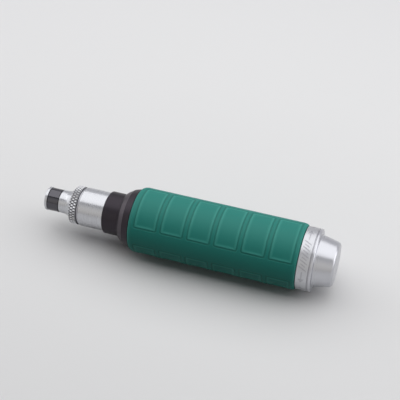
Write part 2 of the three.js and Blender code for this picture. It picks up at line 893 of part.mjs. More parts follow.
// A spring band with a slit, which keeps the bit ball down.
function makeBand() {
  const inner = bandSeatRadius + seat;
  const outline = new THREE.Shape();
  outline.absarc(0, 0, inner + bandThickness, bandSlit / 2, 2 * Math.PI - bandSlit / 2, false);
  outline.absarc(0, 0, inner, 2 * Math.PI - bandSlit / 2, bandSlit / 2, true);
  const length = bandSeatLength - 2 * seat;
  const band = new THREE.ExtrudeGeometry(outline, {
    depth: length, bevelEnabled: false, curveSegments: roundSides / 2,
  });
  band.rotateY(Math.PI / 2);
  band.translate(bandSeatFront + seat, 0, 0);
  return band;
}

function makeBitBall() {
  const ball = new THREE.SphereGeometry(bitBallRadius, ballSides, ballSides / 2);
  ball.translate(bitBallStation, 0, hexHalf - bitBallProud + bitBallRadius);
  return ball;
}

add('barrel', makeBarrel(), forgedSteel());
add('grip_sleeve', makeGrip(), greenRubber());
add('nose_cap', makeNoseCap(), blackenedSteel());
add('nose_seal', makeNoseSeal(), blackRubber());
add('cap_lock_screw', makeLockScrew(), hardenedSteel());
add('snap_ring', makeSnapRing(), springSteel());
add('front_bush', makeFrontBush(), bronze());
add('bumper_ring', makeBumper(), blackRubber());
add('cam_sleeve', makeCamSleeve(), hardenedSteel());
add('sleeve_dowel_left', makeDowel(0), hardenedSteel());
add('sleeve_dowel_right', makeDowel(1), hardenedSteel());
add('spring_seat', makeSpringSeat(), hardenedSteel());
add('return_spring', makeReturnSpring(), springSteel());
add('thrust_plate', makeThrustPlate(), hardenedSteel());
add('drive_spindle', makeSpindle(), blackenedSteel());
add('cross_pin', makeCrossPin(), hardenedSteel());
add('detent_ball', makeDetentBall(), hardenedSteel());
add('detent_spring', makeDetentSpring(), springSteel());
add('bit_holder', makeHolder(), chromedSteel());
add('retainer_band', makeBand(), blackBand());
add('bit_ball', makeBitBall(), hardenedSteel());

// The tool lies on the flat between two bead lines of its grip, centred along X.
const restAngle = beadWidth / 2 / gripRadius;
tool.position.set(-(holderMouth + strikingFace) / 2, 0, gripRadius * Math.cos(restAngle));

export default tool;
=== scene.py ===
# %% [markdown]
# # A hand impact driver, piece by piece
#
# A hand impact driver turns one hammer blow into a short, hard twist. A steel barrel is
# struck on its bare end, a cam inside turns the spindle, and the bit holder at the front
# frees a stuck screw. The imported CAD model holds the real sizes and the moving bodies. This
# lesson loads it and builds finer skins for the pieces that show.

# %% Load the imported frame
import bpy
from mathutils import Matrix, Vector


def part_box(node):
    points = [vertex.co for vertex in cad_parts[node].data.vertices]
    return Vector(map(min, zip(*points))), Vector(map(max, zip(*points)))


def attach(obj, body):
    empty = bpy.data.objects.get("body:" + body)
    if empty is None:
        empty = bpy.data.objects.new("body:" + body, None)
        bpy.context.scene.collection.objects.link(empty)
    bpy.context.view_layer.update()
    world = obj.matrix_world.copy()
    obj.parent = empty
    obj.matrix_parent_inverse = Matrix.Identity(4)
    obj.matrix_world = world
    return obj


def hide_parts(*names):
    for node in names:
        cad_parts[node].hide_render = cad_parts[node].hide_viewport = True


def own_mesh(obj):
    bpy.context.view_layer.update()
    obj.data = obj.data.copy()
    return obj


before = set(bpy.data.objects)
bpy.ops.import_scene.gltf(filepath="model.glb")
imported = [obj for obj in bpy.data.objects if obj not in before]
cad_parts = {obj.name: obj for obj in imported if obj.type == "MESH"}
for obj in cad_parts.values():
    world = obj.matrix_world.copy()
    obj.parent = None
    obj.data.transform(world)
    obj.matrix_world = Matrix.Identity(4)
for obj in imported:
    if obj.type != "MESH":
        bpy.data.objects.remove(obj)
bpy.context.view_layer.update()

# %% [markdown]
# ## Units and places
#
# Sizes are written in millimetres and converted to Blender's metres in one place. A station
# is a place along the tool, counted from the front rim of the grip towards the struck end.
# Its zero and the height of the tool's axis are read from the frame, so the pieces land on
# the CAD.

# %% Stations along the tool
from math import asin, atan2, ceil, cos, degrees, hypot, pi, radians, sin, tau

import bmesh
import bpy
from mathutils import Vector

MM = 0.001
GRIP_FRONT_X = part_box("grip_sleeve")[0].x
AXIS_Z = (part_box("barrel")[0].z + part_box("barrel")[1].z) / 2


def place(station, across=0.0, above=0.0):
    """A point in metres, from millimetres along, across and above the tool's axis."""
    return Vector((GRIP_FRONT_X + station * MM, across * MM, AXIS_Z + above * MM))


def add_object(name, data):
    """Puts an object with the given data into the scene."""
    added = bpy.data.objects.new(name, data)
    bpy.context.scene.collection.objects.link(added)
    return added


print(f"grip front at x {GRIP_FRONT_X / MM:.1f} mm, axis {AXIS_Z / MM:.2f} mm above the floor")

# %% [markdown]
# ## Colours
#
# Colours are picked as sRGB hex values, but shaders add light in linear values. One
# converter stands between the two.


# %% One converter for all colours
def linear(hex_colour):
    """Turns an sRGB hex colour into a linear RGBA value."""
    channels = [int(hex_colour[i:i + 2], 16) / 255 for i in (1, 3, 5)]
    low = 0.04045
    return (*(c / 12.92 if c <= low else ((c + 0.055) / 1.055) ** 2.4 for c in channels), 1.0)


print("mid grey #808080 is", round(linear("#808080")[0], 3), "in linear light")

# %% [markdown]
# ## Adding a shader node
#
# A material is a small graph. One function adds any kind of node: settings are the node's
# own options, and sockets are either plain values or another node's output to link in. A
# colour ramp also needs its colours filled in.


# %% Add a node and fill a ramp
def add_node(tree, kind, settings=(), sockets=()):
    """Adds a node, applies its settings, and fills or links its sockets."""
    node = tree.nodes.new(kind)
    for name, value in dict(settings).items():
        setattr(node, name, value)
    for name, value in dict(sockets).items():
        socket = node.inputs[name]
        if isinstance(value, bpy.types.NodeSocket):
            tree.links.new(value, socket)
        else:
            socket.default_value = value
    return node


def fill_ramp(node, stops):
    """Gives a colour ramp one hex colour at each of its places between 0 and 1."""
    elements = node.color_ramp.elements
    for spot in list(stops)[1:-1]:
        elements.new(spot)
    for element, (spot, colour) in zip(elements, stops.items()):
        element.position = spot
        element.color = linear(colour)
    return node.outputs["Color"]


print("node helpers ready")

# %% [markdown]
# ## A bare material
#
# Every finish starts from the same principled shader. A value that is the same all over the
# surface stays on the shader's own socket, and patterns are linked in afterwards.


# %% Start a material
def start_material(name, **surface):
    """Makes a material with a principled shader, and returns it with its graph and shader."""
    material = bpy.data.materials.new(name)
    material.use_nodes = True
    tree = material.node_tree
    shader = next(n for n in tree.nodes if n.type == "BSDF_PRINCIPLED")
    for socket, value in surface.items():
        shader.inputs[socket.replace("_", " ")].default_value = value
    return material, tree, shader


print("material helper ready")

# %% [markdown]
# ## Turning marks
#
# Most steel pieces here were turned on a lathe, which leaves fine rings round the axis. On a
# cylinder the rings follow the place along the axis, and on an end face the distance from
# it, so the sum of both works on each. A real mark is about 0.1 mm wide, too fine to show in
# a picture of the whole tool, so the marks are drawn three times coarser.

# %% Rings left by the lathe
MARK_SPACING = 0.3


def axis_distance(tree):
    """Two values at a point: its place along the tool's axis and its distance from the axis."""
    coordinates = add_node(tree, "ShaderNodeTexCoord")
    centred = add_node(
        tree, "ShaderNodeVectorMath", {"operation": "SUBTRACT"},
        {0: coordinates.outputs["Object"], 1: (0.0, 0.0, AXIS_Z)},
    )
    axes = add_node(tree, "ShaderNodeSeparateXYZ", (), {"Vector": centred.outputs[0]})
    across = add_node(
        tree, "ShaderNodeCombineXYZ", (), {"Y": axes.outputs["Y"], "Z": axes.outputs["Z"]},
    )
    radius = add_node(
        tree, "ShaderNodeVectorMath", {"operation": "LENGTH"}, {0: across.outputs[0]},
    )
    return axes.outputs["X"], radius.outputs["Value"]


def turning_marks(tree):
    """A noise value that changes only along the lathe's cut."""
    along, outward = axis_distance(tree)
    cut = add_node(tree, "ShaderNodeMath", {"operation": "ADD"}, {0: along, 1: outward})
    return add_node(
        tree, "ShaderNodeTexNoise", {"noise_dimensions": "1D"},
        {"W": cut.outputs[0], "Scale": 1 / (MARK_SPACING * MM), "Detail": 3.0, "Roughness": 0.6},
    ).outputs["Fac"]


print(f"turning marks are drawn {MARK_SPACING} mm apart")

# %% [markdown]
# ## From a pattern to gloss and relief
#
# A pattern makes the gloss uneven and tips the surface a little. Both come from the same
# noise value, so that gloss and relief agree.


# %% Link a pattern to a shader
NOISE_RANGE = {"From Min": 0.3, "From Max": 0.7}  # noise seldom leaves this range


def roughen(tree, shader, pattern, low, high, depth):
    """Spreads roughness from low to high over a pattern, and adds a relief in millimetres."""
    gloss = add_node(
        tree, "ShaderNodeMapRange", (),
        {"Value": pattern, "To Min": low, "To Max": high, **NOISE_RANGE},
    )
    tree.links.new(gloss.outputs["Result"], shader.inputs["Roughness"])
    relief = add_node(
        tree, "ShaderNodeBump", (), {"Height": pattern, "Strength": 1.0, "Distance": depth * MM},
    )
    tree.links.new(relief.outputs["Normal"], shader.inputs["Normal"])


print("roughen links a pattern to gloss and relief")

# %% [markdown]
# ## Chrome, black oxide and ground steel
#
# A metal's colour is its reflection, so metallic is 1 and the index of refraction is left
# alone. The holder and the struck head have satin chrome plate, which throws back a little
# over half of the light, so its colour is a light grey and not white. The nose cap and the
# spindle are blackened in a hot oxide bath, which leaves a dark satin skin with a trace of
# violet. A greyer band on the cap's step is a painted highlight. The hidden pieces are ground.


# %% The steel finishes
def metal(name, colour, low, high, depth, pattern=turning_marks):
    """A metal with the given colour and gloss range over a pattern."""
    material, tree, shader = start_material(name, Base_Color=linear(colour), Metallic=1.0)
    roughen(tree, shader, pattern(tree), low, high, depth)
    print(f"{name}: {colour}, roughness {low} to {high}")
    return material


satin_chrome = metal("satin_chrome_plate", "#C1C2C6", 0.25, 0.30, 0.001)
head_chrome = metal("forged_head_chrome", "#C2C3C8", 0.27, 0.33, 0.0015)
# The grooves get a darker steel than the chrome round them, as painted shade.
groove_painted_shade_steel = metal("painted_shade_groove_metal", "#B2B2B7", 0.34, 0.42, 0.004)
black_oxide = metal("black_oxide_steel", "#3A363B", 0.34, 0.46, 0.004)
# A paler oxide for the band over the cap's step, as a painted highlight.
cap_painted_highlight = metal("black_oxide_with_painted_highlight", "#544F54", 0.36, 0.48, 0.004)
ground_steel = metal("ground_tool_steel", "#A3A5AA", 0.22, 0.36, 0.003)
oil_tempered_wire = metal("oil_tempered_spring_wire", "#74767C", 0.30, 0.44, 0.003)
black_nickel = metal("black_nickel_band_steel", "#58575C", 0.10, 0.16, 0.001)

# %% [markdown]
# ## Knurled chrome
#
# The valleys of a knurl see little light. The colour follows the distance from the axis,
# from painted shade in the valleys to plain chrome on the ridges.

# %% The knurled ring
VALLEY_RADIUS, RIDGE_RADIUS = 10.65, 10.95
knurled_chrome, knurl_tree, knurl_shader = start_material(
    "knurled_chrome_ring", Metallic=1.0, Roughness=0.3,
)
valley_painted_shade_tones = add_node(knurl_tree, "ShaderNodeValToRGB", (), {
    "Fac": add_node(knurl_tree, "ShaderNodeMapRange", (), {
        "Value": axis_distance(knurl_tree)[1],
        "From Min": VALLEY_RADIUS * MM, "From Max": RIDGE_RADIUS * MM,
    }).outputs["Result"],
})
# The dark valley colour is painted shade.
knurl_painted_shade = fill_ramp(valley_painted_shade_tones, {0: "#626266", 1: "#DADBDE"})
knurl_tree.links.new(knurl_painted_shade, knurl_shader.inputs["Base Color"])
print("knurl darkens from", RIDGE_RADIUS, "to", VALLEY_RADIUS, "mm from the axis")

# %% [markdown]
# ## Blasted steel
#
# The ring beside the grip was blasted with fine grit, so that its stamped marks can be read
# without glare. Grit leaves pits about 0.1 mm wide. They are drawn about three times wider,
# which is the finest that a picture of the tool can hold.

# %% The blasted ring
GRIT_WIDTH = 0.35


def grain(tree, width=GRIT_WIDTH):
    """A noise value made of round grains, with their width in millimetres."""
    spot = add_node(tree, "ShaderNodeTexCoord").outputs["Object"]
    return add_node(
        tree, "ShaderNodeTexNoise", (), {"Vector": spot, "Scale": 1 / (width * MM), "Detail": 2.0},
    ).outputs["Fac"]


blasted_chrome = metal("blasted_chrome_ring", "#C2C3C7", 0.32, 0.44, 0.016, grain)
stamped_steel = metal("stamped_mark_floor", "#B0B0B5", 0.40, 0.55, 0.012, grain)
sintered_bronze = metal("sintered_bronze", "#B08A4E", 0.40, 0.60, 0.03, grain)

# %% [markdown]
# ## Moulded rubber
#
# The grip is nitrile rubber, with a broad weak highlight and a fine grain from the mould.
# The mesh carries a value named tone: 0 in a groove, a half on the plain rubber and 1 on a
# bead. The colour follows that value, so the grooves carry painted shade and the beads a
# painted highlight. Real grain is finer, and is drawn as fine as a picture holds.

# %% The green grip
RUBBER_GRAIN, NITRILE_IOR = 0.3, 1.52


def moulded_rubber(name, groove, face, bead):
    """Rubber whose colour follows the tone of the mesh, with a fine mould grain."""
    material, tree, shader = start_material(name, IOR=NITRILE_IOR, Specular_IOR_Level=0.3)
    tone = add_node(tree, "ShaderNodeAttribute", {"attribute_name": "tone"})
    tones = add_node(tree, "ShaderNodeValToRGB", (), {"Fac": tone.outputs["Fac"]})
    colour = fill_ramp(tones, {0: groove, 0.5: face, 1: bead})
    tree.links.new(colour, shader.inputs["Base Color"])
    roughen(tree, shader, grain(tree, RUBBER_GRAIN), 0.54, 0.66, 0.008)
    print(f"{name}: grain {RUBBER_GRAIN} mm, face {face}")
    return material


# The groove colour is painted shade, and the bead colour is a painted highlight.
green_rubber = moulded_rubber("green_nitrile_grip", "#1A6C62", "#207D73", "#378F84")

# %% [markdown]
# ## Black rubber
#
# The nose seal and the bumper are plain black nitrile, duller than the grip. One colour and
# the same grain are enough.

# %% The seal and the bumper
black_rubber, rubber_tree, rubber_shader = start_material(
    "black_nitrile", Base_Color=linear("#1D1D1F"), IOR=NITRILE_IOR,
)
roughen(rubber_tree, rubber_shader, grain(rubber_tree, RUBBER_GRAIN), 0.6, 0.75, 0.01)
print("black_nitrile ready")

# %% [markdown]
# ## Rounded outlines
#
# A real turned edge has a small round, and that round is what catches the light. Each corner
# of an outline is replaced by a short curve before the piece is turned. A very blunt corner
# is left alone, and no round takes up more than its share of the sides that meet there.

# %% Soften the corners of an outline
CORNER_STEPS = 3
LEAST_TURN = radians(12)
SIDE_SHARE = 0.45


def soften(outline, edge, closed=False):
    """Rounds the corners of a (station, radius) outline by about edge millimetres."""
    points = [Vector(p) for p in outline]
    rounded = []
    for i, here in enumerate(points):
        ends = not closed and i in (0, len(points) - 1)
        back = points[i - 1] - here
        ahead = points[(i + 1) % len(points)] - here
        if ends or edge == 0 or pi - back.angle(ahead) < LEAST_TURN:
            rounded.append(here)
            continue
        reach = min(edge, SIDE_SHARE * back.length, SIDE_SHARE * ahead.length)
        first = here + back.normalized() * reach
        last = here + ahead.normalized() * reach
        for step in range(CORNER_STEPS + 1):
            t = step / CORNER_STEPS
            rounded.append(first * (1 - t) ** 2 + here * 2 * t * (1 - t) + last * t ** 2)
    return [tuple(p) for p in rounded]


print("a square corner becomes", len(soften([(0, 0), (1, 0), (1, 1)], 0.3)) - 2, "points")

# %% [markdown]
# ## Meshes from rings
#
# A turned piece, a spring and a bored sleeve are all stacks of rings joined by quads. A ring
# with a single point closes an end on the axis. The shading is smooth except where faces
# meet at a real edge, and a weighted normal keeps the flats flat beside their small rounds.

# %% Join rings into a mesh
EDGE_ANGLE = radians(40)


def shade(piece):
    """Smooths the shading, keeps real edges sharp and flats flat."""
    piece.data.polygons.foreach_set("use_smooth", [True] * len(piece.data.polygons))
    piece.data.set_sharp_from_angle(angle=EDGE_ANGLE)
    if not piece.modifiers:
        weighted = piece.modifiers.new("flat_faces", "WEIGHTED_NORMAL")
        weighted.keep_sharp = True
    return piece


def make_piece(name, mesh):
    """Turns a finished bmesh into an object of the scene."""
    data = bpy.data.meshes.new(name)
    mesh.to_mesh(data)
    mesh.free()
    return add_object(name, data)


def join_rings(name, rings, closed=False):
    """Builds a mesh from rings of points, closed into a loop or fanned at single points."""
    mesh = bmesh.new()
    rows = [[mesh.verts.new(p) for p in ring] for ring in rings]
    pairs = list(zip(rows, rows[1:])) + ([(rows[-1], rows[0])] if closed else [])
    for near, far in pairs:
        count = max(len(near), len(far))
        for j in range(count):
            k = (j + 1) % count
            corners = [row[i % len(row)] for row, i in ((near, j), (near, k), (far, k), (far, j))]
            mesh.faces.new(list(dict.fromkeys(corners)))
    bmesh.ops.recalc_face_normals(mesh, faces=mesh.faces)
    return shade(make_piece(name, mesh))


print("ring joiner ready")

# %% [markdown]
# ## Turning a piece
#
# The lathe spins an outline about the tool's axis. An outline that starts and ends on the
# axis makes a solid bar, and a closed outline makes a ring with a bore.

# %% Turn an outline about the axis
ROUND_SIDES = 144


def around(station, radius, angle):
    """A point at an angle round the axis, where 0 is up and the angle grows about +X."""
    return place(station, -radius * sin(angle), radius * cos(angle))


def turn(name, outline, edge, sides=ROUND_SIDES):
    """Turns an outline of (station, radius) points, with its corners softened."""
    closed = outline[0][1] > 0
    rings = [
        [around(s, r, tau * i / sides) for i in range(sides)] if r > 0 else [place(s)]
        for s, r in soften(outline, edge, closed)
    ]
    return join_rings(name, rings, closed)


print(f"lathe ready, one side every {360 / ROUND_SIDES} degrees")

# %% [markdown]
# ## Cutting with another piece
#
# Holes, sockets and stamped marks are cut as in a workshop: a tool of the right shape is put
# in place, its volume is taken away, and the tool is thrown away. The shading helpers of all
# the pieces come off first, because their stored normals would spoil the new edges.


# %% Cut one piece with others
def carve(piece, cutters, operation="DIFFERENCE"):
    """Applies the cutters to a piece and removes them."""
    for solid in (piece, *cutters):
        solid.modifiers.clear()
    for cutter in cutters:
        cut = piece.modifiers.new("cut", "BOOLEAN")
        cut.solver = "EXACT"
        cut.operation = operation
        cut.material_mode = "TRANSFER"
        cut.object = cutter
    graph = bpy.context.evaluated_depsgraph_get()
    carved = bpy.data.meshes.new_from_object(piece.evaluated_get(graph))
    piece.modifiers.clear()
    piece.data = carved
    for cutter in cutters:
        bpy.data.objects.remove(cutter)
    return shade(piece)


print("cutter ready")

# %% [markdown]
# ## Seating a piece on its body
#
# Each finished piece gets its material, rides on the CAD body that it moves with, and stands
# for its CAD node where it has one.


# %% Paint and seat a piece
def paint(piece, material):
    """Gives a piece one material."""
    piece.data.materials.clear()
    piece.data.materials.append(material)
    return piece


def seat(piece, body, slot, *nodes):
    """Ties a finished piece to its body and hides the nodes that it replaces; slot is not used."""
    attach(piece, body)
    if nodes:
        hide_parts(*nodes)
    print(f"{piece.name}: {len(piece.data.polygons)} faces on {body}")


print("paint and seat ready")

# %% [markdown]
# ## A second finish on the same piece
#
# One piece of steel can be plated, blasted and knurled in different places. The faces
# between two stations and two distances from the axis get another material.


# %% Finish a band of a turned piece
def finish_band(piece, material, front, rear, low, high):
    """Gives a material to the faces between two stations and two distances from the axis."""
    piece.data.materials.append(material)
    slot = len(piece.data.materials) - 1
    count = 0
    for face in piece.data.polygons:
        station = (face.center.x - GRIP_FRONT_X) / MM
        radius = hypot(face.center.y, face.center.z - AXIS_Z) / MM
        if front < station < rear and low < radius < high:
            face.material_index = slot
            count += 1
    print(f"{piece.name}: {count} faces in {material.name}")


print("band finish ready")

# %% [markdown]
# ## The camera
#
# The tool is seen from its own right and from well above, through a long lens that keeps its
# two ends nearly the same size. The camera stays level, so it only pitches and pans.

# %% Place the camera
CAMERA_SPOT = (0.1291, -0.3701, 0.4069)
CAMERA_PITCH, CAMERA_PAN = 47.0, 18.262
camera = add_object("camera", bpy.data.cameras.new("camera"))
camera.data.lens = 90.0
camera.data.sensor_width = 36.0
camera.data.clip_start = 0.01
camera.location = CAMERA_SPOT
camera.rotation_euler = (radians(CAMERA_PITCH), 0.0, radians(CAMERA_PAN))
bpy.context.scene.camera = camera
print("camera looks down", 90 - CAMERA_PITCH, "degrees")

# %% [markdown]
# ## The struck head
#
# Barrel, ring, shoulder and cone are one forging, turned outside and bored from the front
# for the mechanism. Only the head shows: the ring beside the grip, a narrow groove, a rounded
# shoulder and the cone that is struck. The hidden barrel is turned in the same outline.

# %% Sizes of the barrel and head
BARREL_RADIUS = 16.0
BORE_RADIUS = 12.6
CAP_SEAT_RADIUS = 14.0
CAP_SEAT_END = 14.3
SNAP_GROOVE = (10.4, 12.2, 14.6)
BORE_END = 91.8
RING_FRONT, RING_REAR, RING_RADIUS = 94.3, 100.5, 17.25
GROOVE_REAR, GROOVE_RADIUS = 101.1, 16.75
CONE_FRONT, STRIKING_FACE = 102.6, 113.2
CONE_BASE_RADIUS, CONE_TIP_RADIUS = 14.3, 12.4
SHOULDER_ROUND, CONE_ROUND = 1.0, 2.0
CROWN, CROWN_SLOPE = 0.12, 8
BARREL_EDGE = 0.3
SLACK = 0.1  # a masked band reaches this far past the faces that it takes in
print("head length", round(STRIKING_FACE - RING_FRONT, 1), "mm")

# %% [markdown]
# The shoulder and the tip of the cone have larger rounds than the other edges, so they are
# drawn as arcs. The striking face is very slightly crowned, as a face for hammer blows is.


# %% Turn the barrel and head
def arc(station, radius, size, start, end, steps=8):
    """Points of an arc about (station, radius), with angles in degrees from +X."""
    turns = [radians(start + (end - start) * i / steps) for i in range(steps + 1)]
    return [(station + size * cos(t), radius + size * sin(t)) for t in turns]


cone_slope = degrees(atan2(CONE_BASE_RADIUS - CONE_TIP_RADIUS, STRIKING_FACE - CONE_FRONT))
tip_centre = (STRIKING_FACE - CROWN - CONE_ROUND, CONE_TIP_RADIUS - CONE_ROUND)
barrel = turn("forged_barrel", [
    (BORE_END, 0), (BORE_END, BORE_RADIUS), (CAP_SEAT_END, BORE_RADIUS),
    (CAP_SEAT_END, CAP_SEAT_RADIUS), (SNAP_GROOVE[1], CAP_SEAT_RADIUS),
    (SNAP_GROOVE[1], SNAP_GROOVE[2]), (SNAP_GROOVE[0], SNAP_GROOVE[2]),
    (SNAP_GROOVE[0], CAP_SEAT_RADIUS), (0, CAP_SEAT_RADIUS), (0, BARREL_RADIUS),
    (RING_FRONT, BARREL_RADIUS), (RING_FRONT, RING_RADIUS), (RING_REAR, RING_RADIUS),
    (RING_REAR, GROOVE_RADIUS), (GROOVE_REAR, GROOVE_RADIUS), (GROOVE_REAR, RING_RADIUS),
    *arc(CONE_FRONT - SHOULDER_ROUND, RING_RADIUS - SHOULDER_ROUND, SHOULDER_ROUND, 90, 0),
    (CONE_FRONT, CONE_BASE_RADIUS),
    *arc(*tip_centre, CONE_ROUND, 90 - cone_slope, CROWN_SLOPE),
    (STRIKING_FACE, 0),
], BARREL_EDGE, 2 * ROUND_SIDES)
paint(barrel, head_chrome)
blasted = (RING_RADIUS - BARREL_EDGE - SLACK, RING_RADIUS + SLACK)
finish_band(barrel, blasted_chrome, RING_FRONT, RING_REAR, *blasted)
# The groove behind the ring gets painted shade.
finish_band(barrel, groove_painted_shade_steel, RING_REAR, GROOVE_REAR, GROOVE_RADIUS - SLACK, RING_RADIUS)

# %% [markdown]
# ## Holes and stamped marks
#
# Under the grip, two holes take the dowels of the cam sleeve and one takes the lock screw of
# the nose cap. The ring carries stamped marks that show which way the tool turns, here plain
# arrows and index ticks. Their flat shapes make one cutter that points at the axis, and a
# thin turned shell trims it, so that the floor of every mark follows the round of the ring.


# %% Cutters for holes and marks
def rod(name, radius, inner, outer, station, angle, sides=48):
    """A round bar square to the axis, from one distance to another."""
    out = around(0, 1, angle) - place(0)
    side = Vector((1, 0, 0)).cross(out.normalized()) * MM
    ends = []
    for reach in (inner, outer):
        middle = place(station) + out * reach
        rim = [
            middle + Vector((radius * MM * cos(t), 0, 0)) + side * radius * sin(t)
            for t in (tau * (i + 0.5) / sides for i in range(sides))
        ]
        ends.append((middle, rim))
    return join_rings(name, [[ends[0][0]], ends[0][1], ends[1][1], [ends[1][0]]])


def radial_prisms(name, shapes, inner, outer):
    """Flat shapes of (round mm, station) points, raised from one distance to another."""
    mesh = bmesh.new()
    for shape in shapes:
        low, high = (
            [mesh.verts.new(around(s, radius, u / RING_RADIUS)) for u, s in shape]
            for radius in (inner, outer)
        )
        for j in range(len(shape)):
            k = (j + 1) % len(shape)
            mesh.faces.new((low[j], low[k], high[k], high[j]))
        bmesh.ops.triangulate(mesh, faces=[mesh.faces.new(low), mesh.faces.new(high)])
    bmesh.ops.recalc_face_normals(mesh, faces=mesh.faces)
    return make_piece(name, mesh)


print("hole and mark cutters ready")

# %% [markdown]
# The marks repeat three times round the ring, so that one set faces the user however the
# tool lies: an arrow for each way of turning, with a row of ticks between them.

# %% Lay out the stamped marks
MARK_DEPTH = 0.1
MARK_MIDDLE = (RING_FRONT + RING_REAR) / 2
SHAFT, HEAD_LENGTH, HEAD_WIDTH = 0.6, 2.4, 3.2
ARROW_LENGTH, ARROW_OFFSET = 7.0, 12.5
TICKS, TICK_PITCH, TICK_WIDTH, TICK_SLANT = 9, 1.8, 0.6, 0.5
TICK_HALF_LENGTHS = (2.1, 1.4)
MARK_SETS, FIRST_SET_TURN = 3, radians(40)
UNIT_SQUARE = ((-1, -1), (1, -1), (1, 1), (-1, 1))


def arrow(middle, way):
    """A flat arrow along the ring, centred at a place round it."""
    tail, neck, tip = -ARROW_LENGTH / 2, ARROW_LENGTH / 2 - HEAD_LENGTH, ARROW_LENGTH / 2
    half, head = SHAFT / 2, HEAD_WIDTH / 2
    flat = [(tail, -half), (0, -half), (neck, -half), (neck, -head), (tip, 0),
            (neck, head), (neck, half), (0, half), (tail, half)]
    return [(middle + way * u, MARK_MIDDLE + s) for u, s in flat]


def tick(middle, half_length):
    """A short slanting stroke across the ring."""
    corners = [(u * TICK_WIDTH / 2, s * half_length) for u, s in UNIT_SQUARE]
    return [(middle + u + s * TICK_SLANT, MARK_MIDDLE + s) for u, s in corners]


marks = []
for n in range(MARK_SETS):
    centre = n * tau * RING_RADIUS / MARK_SETS + FIRST_SET_TURN * RING_RADIUS
    marks += [arrow(centre - ARROW_OFFSET, -1), arrow(centre + ARROW_OFFSET, 1)]
    for i in range(TICKS):
        offset = (i - (TICKS - 1) / 2) * TICK_PITCH
        marks.append(tick(centre + offset, TICK_HALF_LENGTHS[i % 2]))
print("stamped marks:", len(marks))

# %% [markdown]
# The marks and the three holes are cut in one go. The floor of a mark keeps the colour of
# its cutter, so it stays a little darker than the blasted ring round it.

# %% Cut the barrel
DOWEL_STATION, DOWEL_HOLE_RADIUS = 52.7, 2.2
LOCK_STATION, LOCK_HOLE_RADIUS, LOCK_HOLE_FLOOR = 5.2, 2.3, 12.8
INSIDE_BORE, PAST_BARREL = 10.0, 18.0  # a drill starts and ends this far from the axis
STAMP_REACH, OVERRUN = 1.5, 1.0
holes = [
    rod("dowel_drill_left", DOWEL_HOLE_RADIUS, INSIDE_BORE, PAST_BARREL, DOWEL_STATION, pi / 2),
    rod("dowel_drill_right", DOWEL_HOLE_RADIUS, INSIDE_BORE, PAST_BARREL, DOWEL_STATION, -pi / 2),
    rod("lock_drill", LOCK_HOLE_RADIUS, LOCK_HOLE_FLOOR, PAST_BARREL, LOCK_STATION, pi),
]
stamp = radial_prisms("stamp", marks, RING_RADIUS - STAMP_REACH, RING_RADIUS + STAMP_REACH)
shell_ends = (RING_FRONT - OVERRUN, RING_REAR + OVERRUN)
shell = turn("shell", [
    (shell_ends[0], RING_RADIUS - MARK_DEPTH), (shell_ends[0], RING_RADIUS + OVERRUN),
    (shell_ends[1], RING_RADIUS + OVERRUN), (shell_ends[1], RING_RADIUS - MARK_DEPTH),
], edge=0, sides=2 * ROUND_SIDES)
paint(carve(stamp, [shell], "INTERSECT"), stamped_steel)
carve(barrel, [*holes, stamp])
seat(barrel, "barrel", "forged_steel", "barrel")

# %% [markdown]
# ## The rubber grip
#
# The grip is a sleeve with three rows of six framed panels. Round each panel runs a narrow
# groove, then a raised bead, then a sunken floor. One formula gives the height of the skin
# from the distance to the panel's edge, so the beads turn the corners of the panels cleanly.

# %% Sizes of the grip
GRIP_LENGTH, GRIP_RADIUS, GRIP_BORE = 94.0, 18.36, 16.3
FRONT_RIM_RADIUS, FRONT_RIM_LENGTH = 17.0, 3.15
REAR_RIM_RADIUS, REAR_RIM_LENGTH = 17.4, 2.95
PANELS_ALONG, PANELS_AROUND = 6, 3
PANEL_FRONT, PANEL_LENGTH, PANEL_PITCH = 3.55, 12.7, 15.1
PANEL_TURN, PANEL_SPAN = radians(30), radians(86)
PANEL_CORNER = 1.0
GROOVE_DEPTH, FLOOR_DEPTH = 0.22, 0.25
GROOVE_REACH, BEAD_TOP, FLOOR_START = -0.7, 0.8, 2.1
# A tone below a half is painted shade, and a tone above it is a painted highlight.
PLAIN_TONE, FLOOR_TONE, RIM_HIGHLIGHT_TONE = 0.5, 0.52, 1.0
print("panel", PANEL_LENGTH, "by", round(PANEL_SPAN * GRIP_RADIUS, 1), "mm")

# %% [markdown]
# The distance inside a rounded rectangle is a classic short formula. It is positive inside
# the panel, zero on its edge and negative outside, all in millimetres on the skin.


# %% Height of the skin
def ease(t):
    """A smooth step from 0 to 1."""
    return 0.5 - 0.5 * cos(pi * min(max(t, 0.0), 1.0))


def inside_panel(station, angle):
    """How far a point of the skin lies inside its nearest panel."""
    from_first = station - PANEL_FRONT - PANEL_LENGTH / 2
    n = min(max(round(from_first / PANEL_PITCH), 0), PANELS_ALONG - 1)
    along = abs(from_first - n * PANEL_PITCH)
    pitch = tau / PANELS_AROUND
    offset = (angle - PANEL_TURN - PANEL_SPAN / 2 + pitch / 2) % pitch - pitch / 2
    round_way = abs(offset) * GRIP_RADIUS
    x = along - PANEL_LENGTH / 2 + PANEL_CORNER
    y = round_way - PANEL_SPAN * GRIP_RADIUS / 2 + PANEL_CORNER
    return PANEL_CORNER - hypot(max(x, 0), max(y, 0)) - min(max(x, y), 0)


# The low tone in the groove paints shade, and the high tone on the bead paints a highlight.
def skin(d):
    """Height of the skin over the plain rubber in millimetres, and its tone."""
    if d < 0:
        sunk = ease(1 - d / GROOVE_REACH)
        return -GROOVE_DEPTH * sunk, PLAIN_TONE * (1 - sunk)
    if d < BEAD_TOP:
        rise = ease(d / BEAD_TOP)
        return -GROOVE_DEPTH * (1 - rise), rise
    fall = ease((d - BEAD_TOP) / (FLOOR_START - BEAD_TOP))
    return -FLOOR_DEPTH * fall, 1 - (1 - FLOOR_TONE) * fall


print("height and tone at a panel's middle:", skin(5.0))

# %% [markdown]
# The mesh lines crowd together at the beads and spread out on the floors, so the detail goes
# where the shape is. The two ends of the sleeve roll over to their rims.

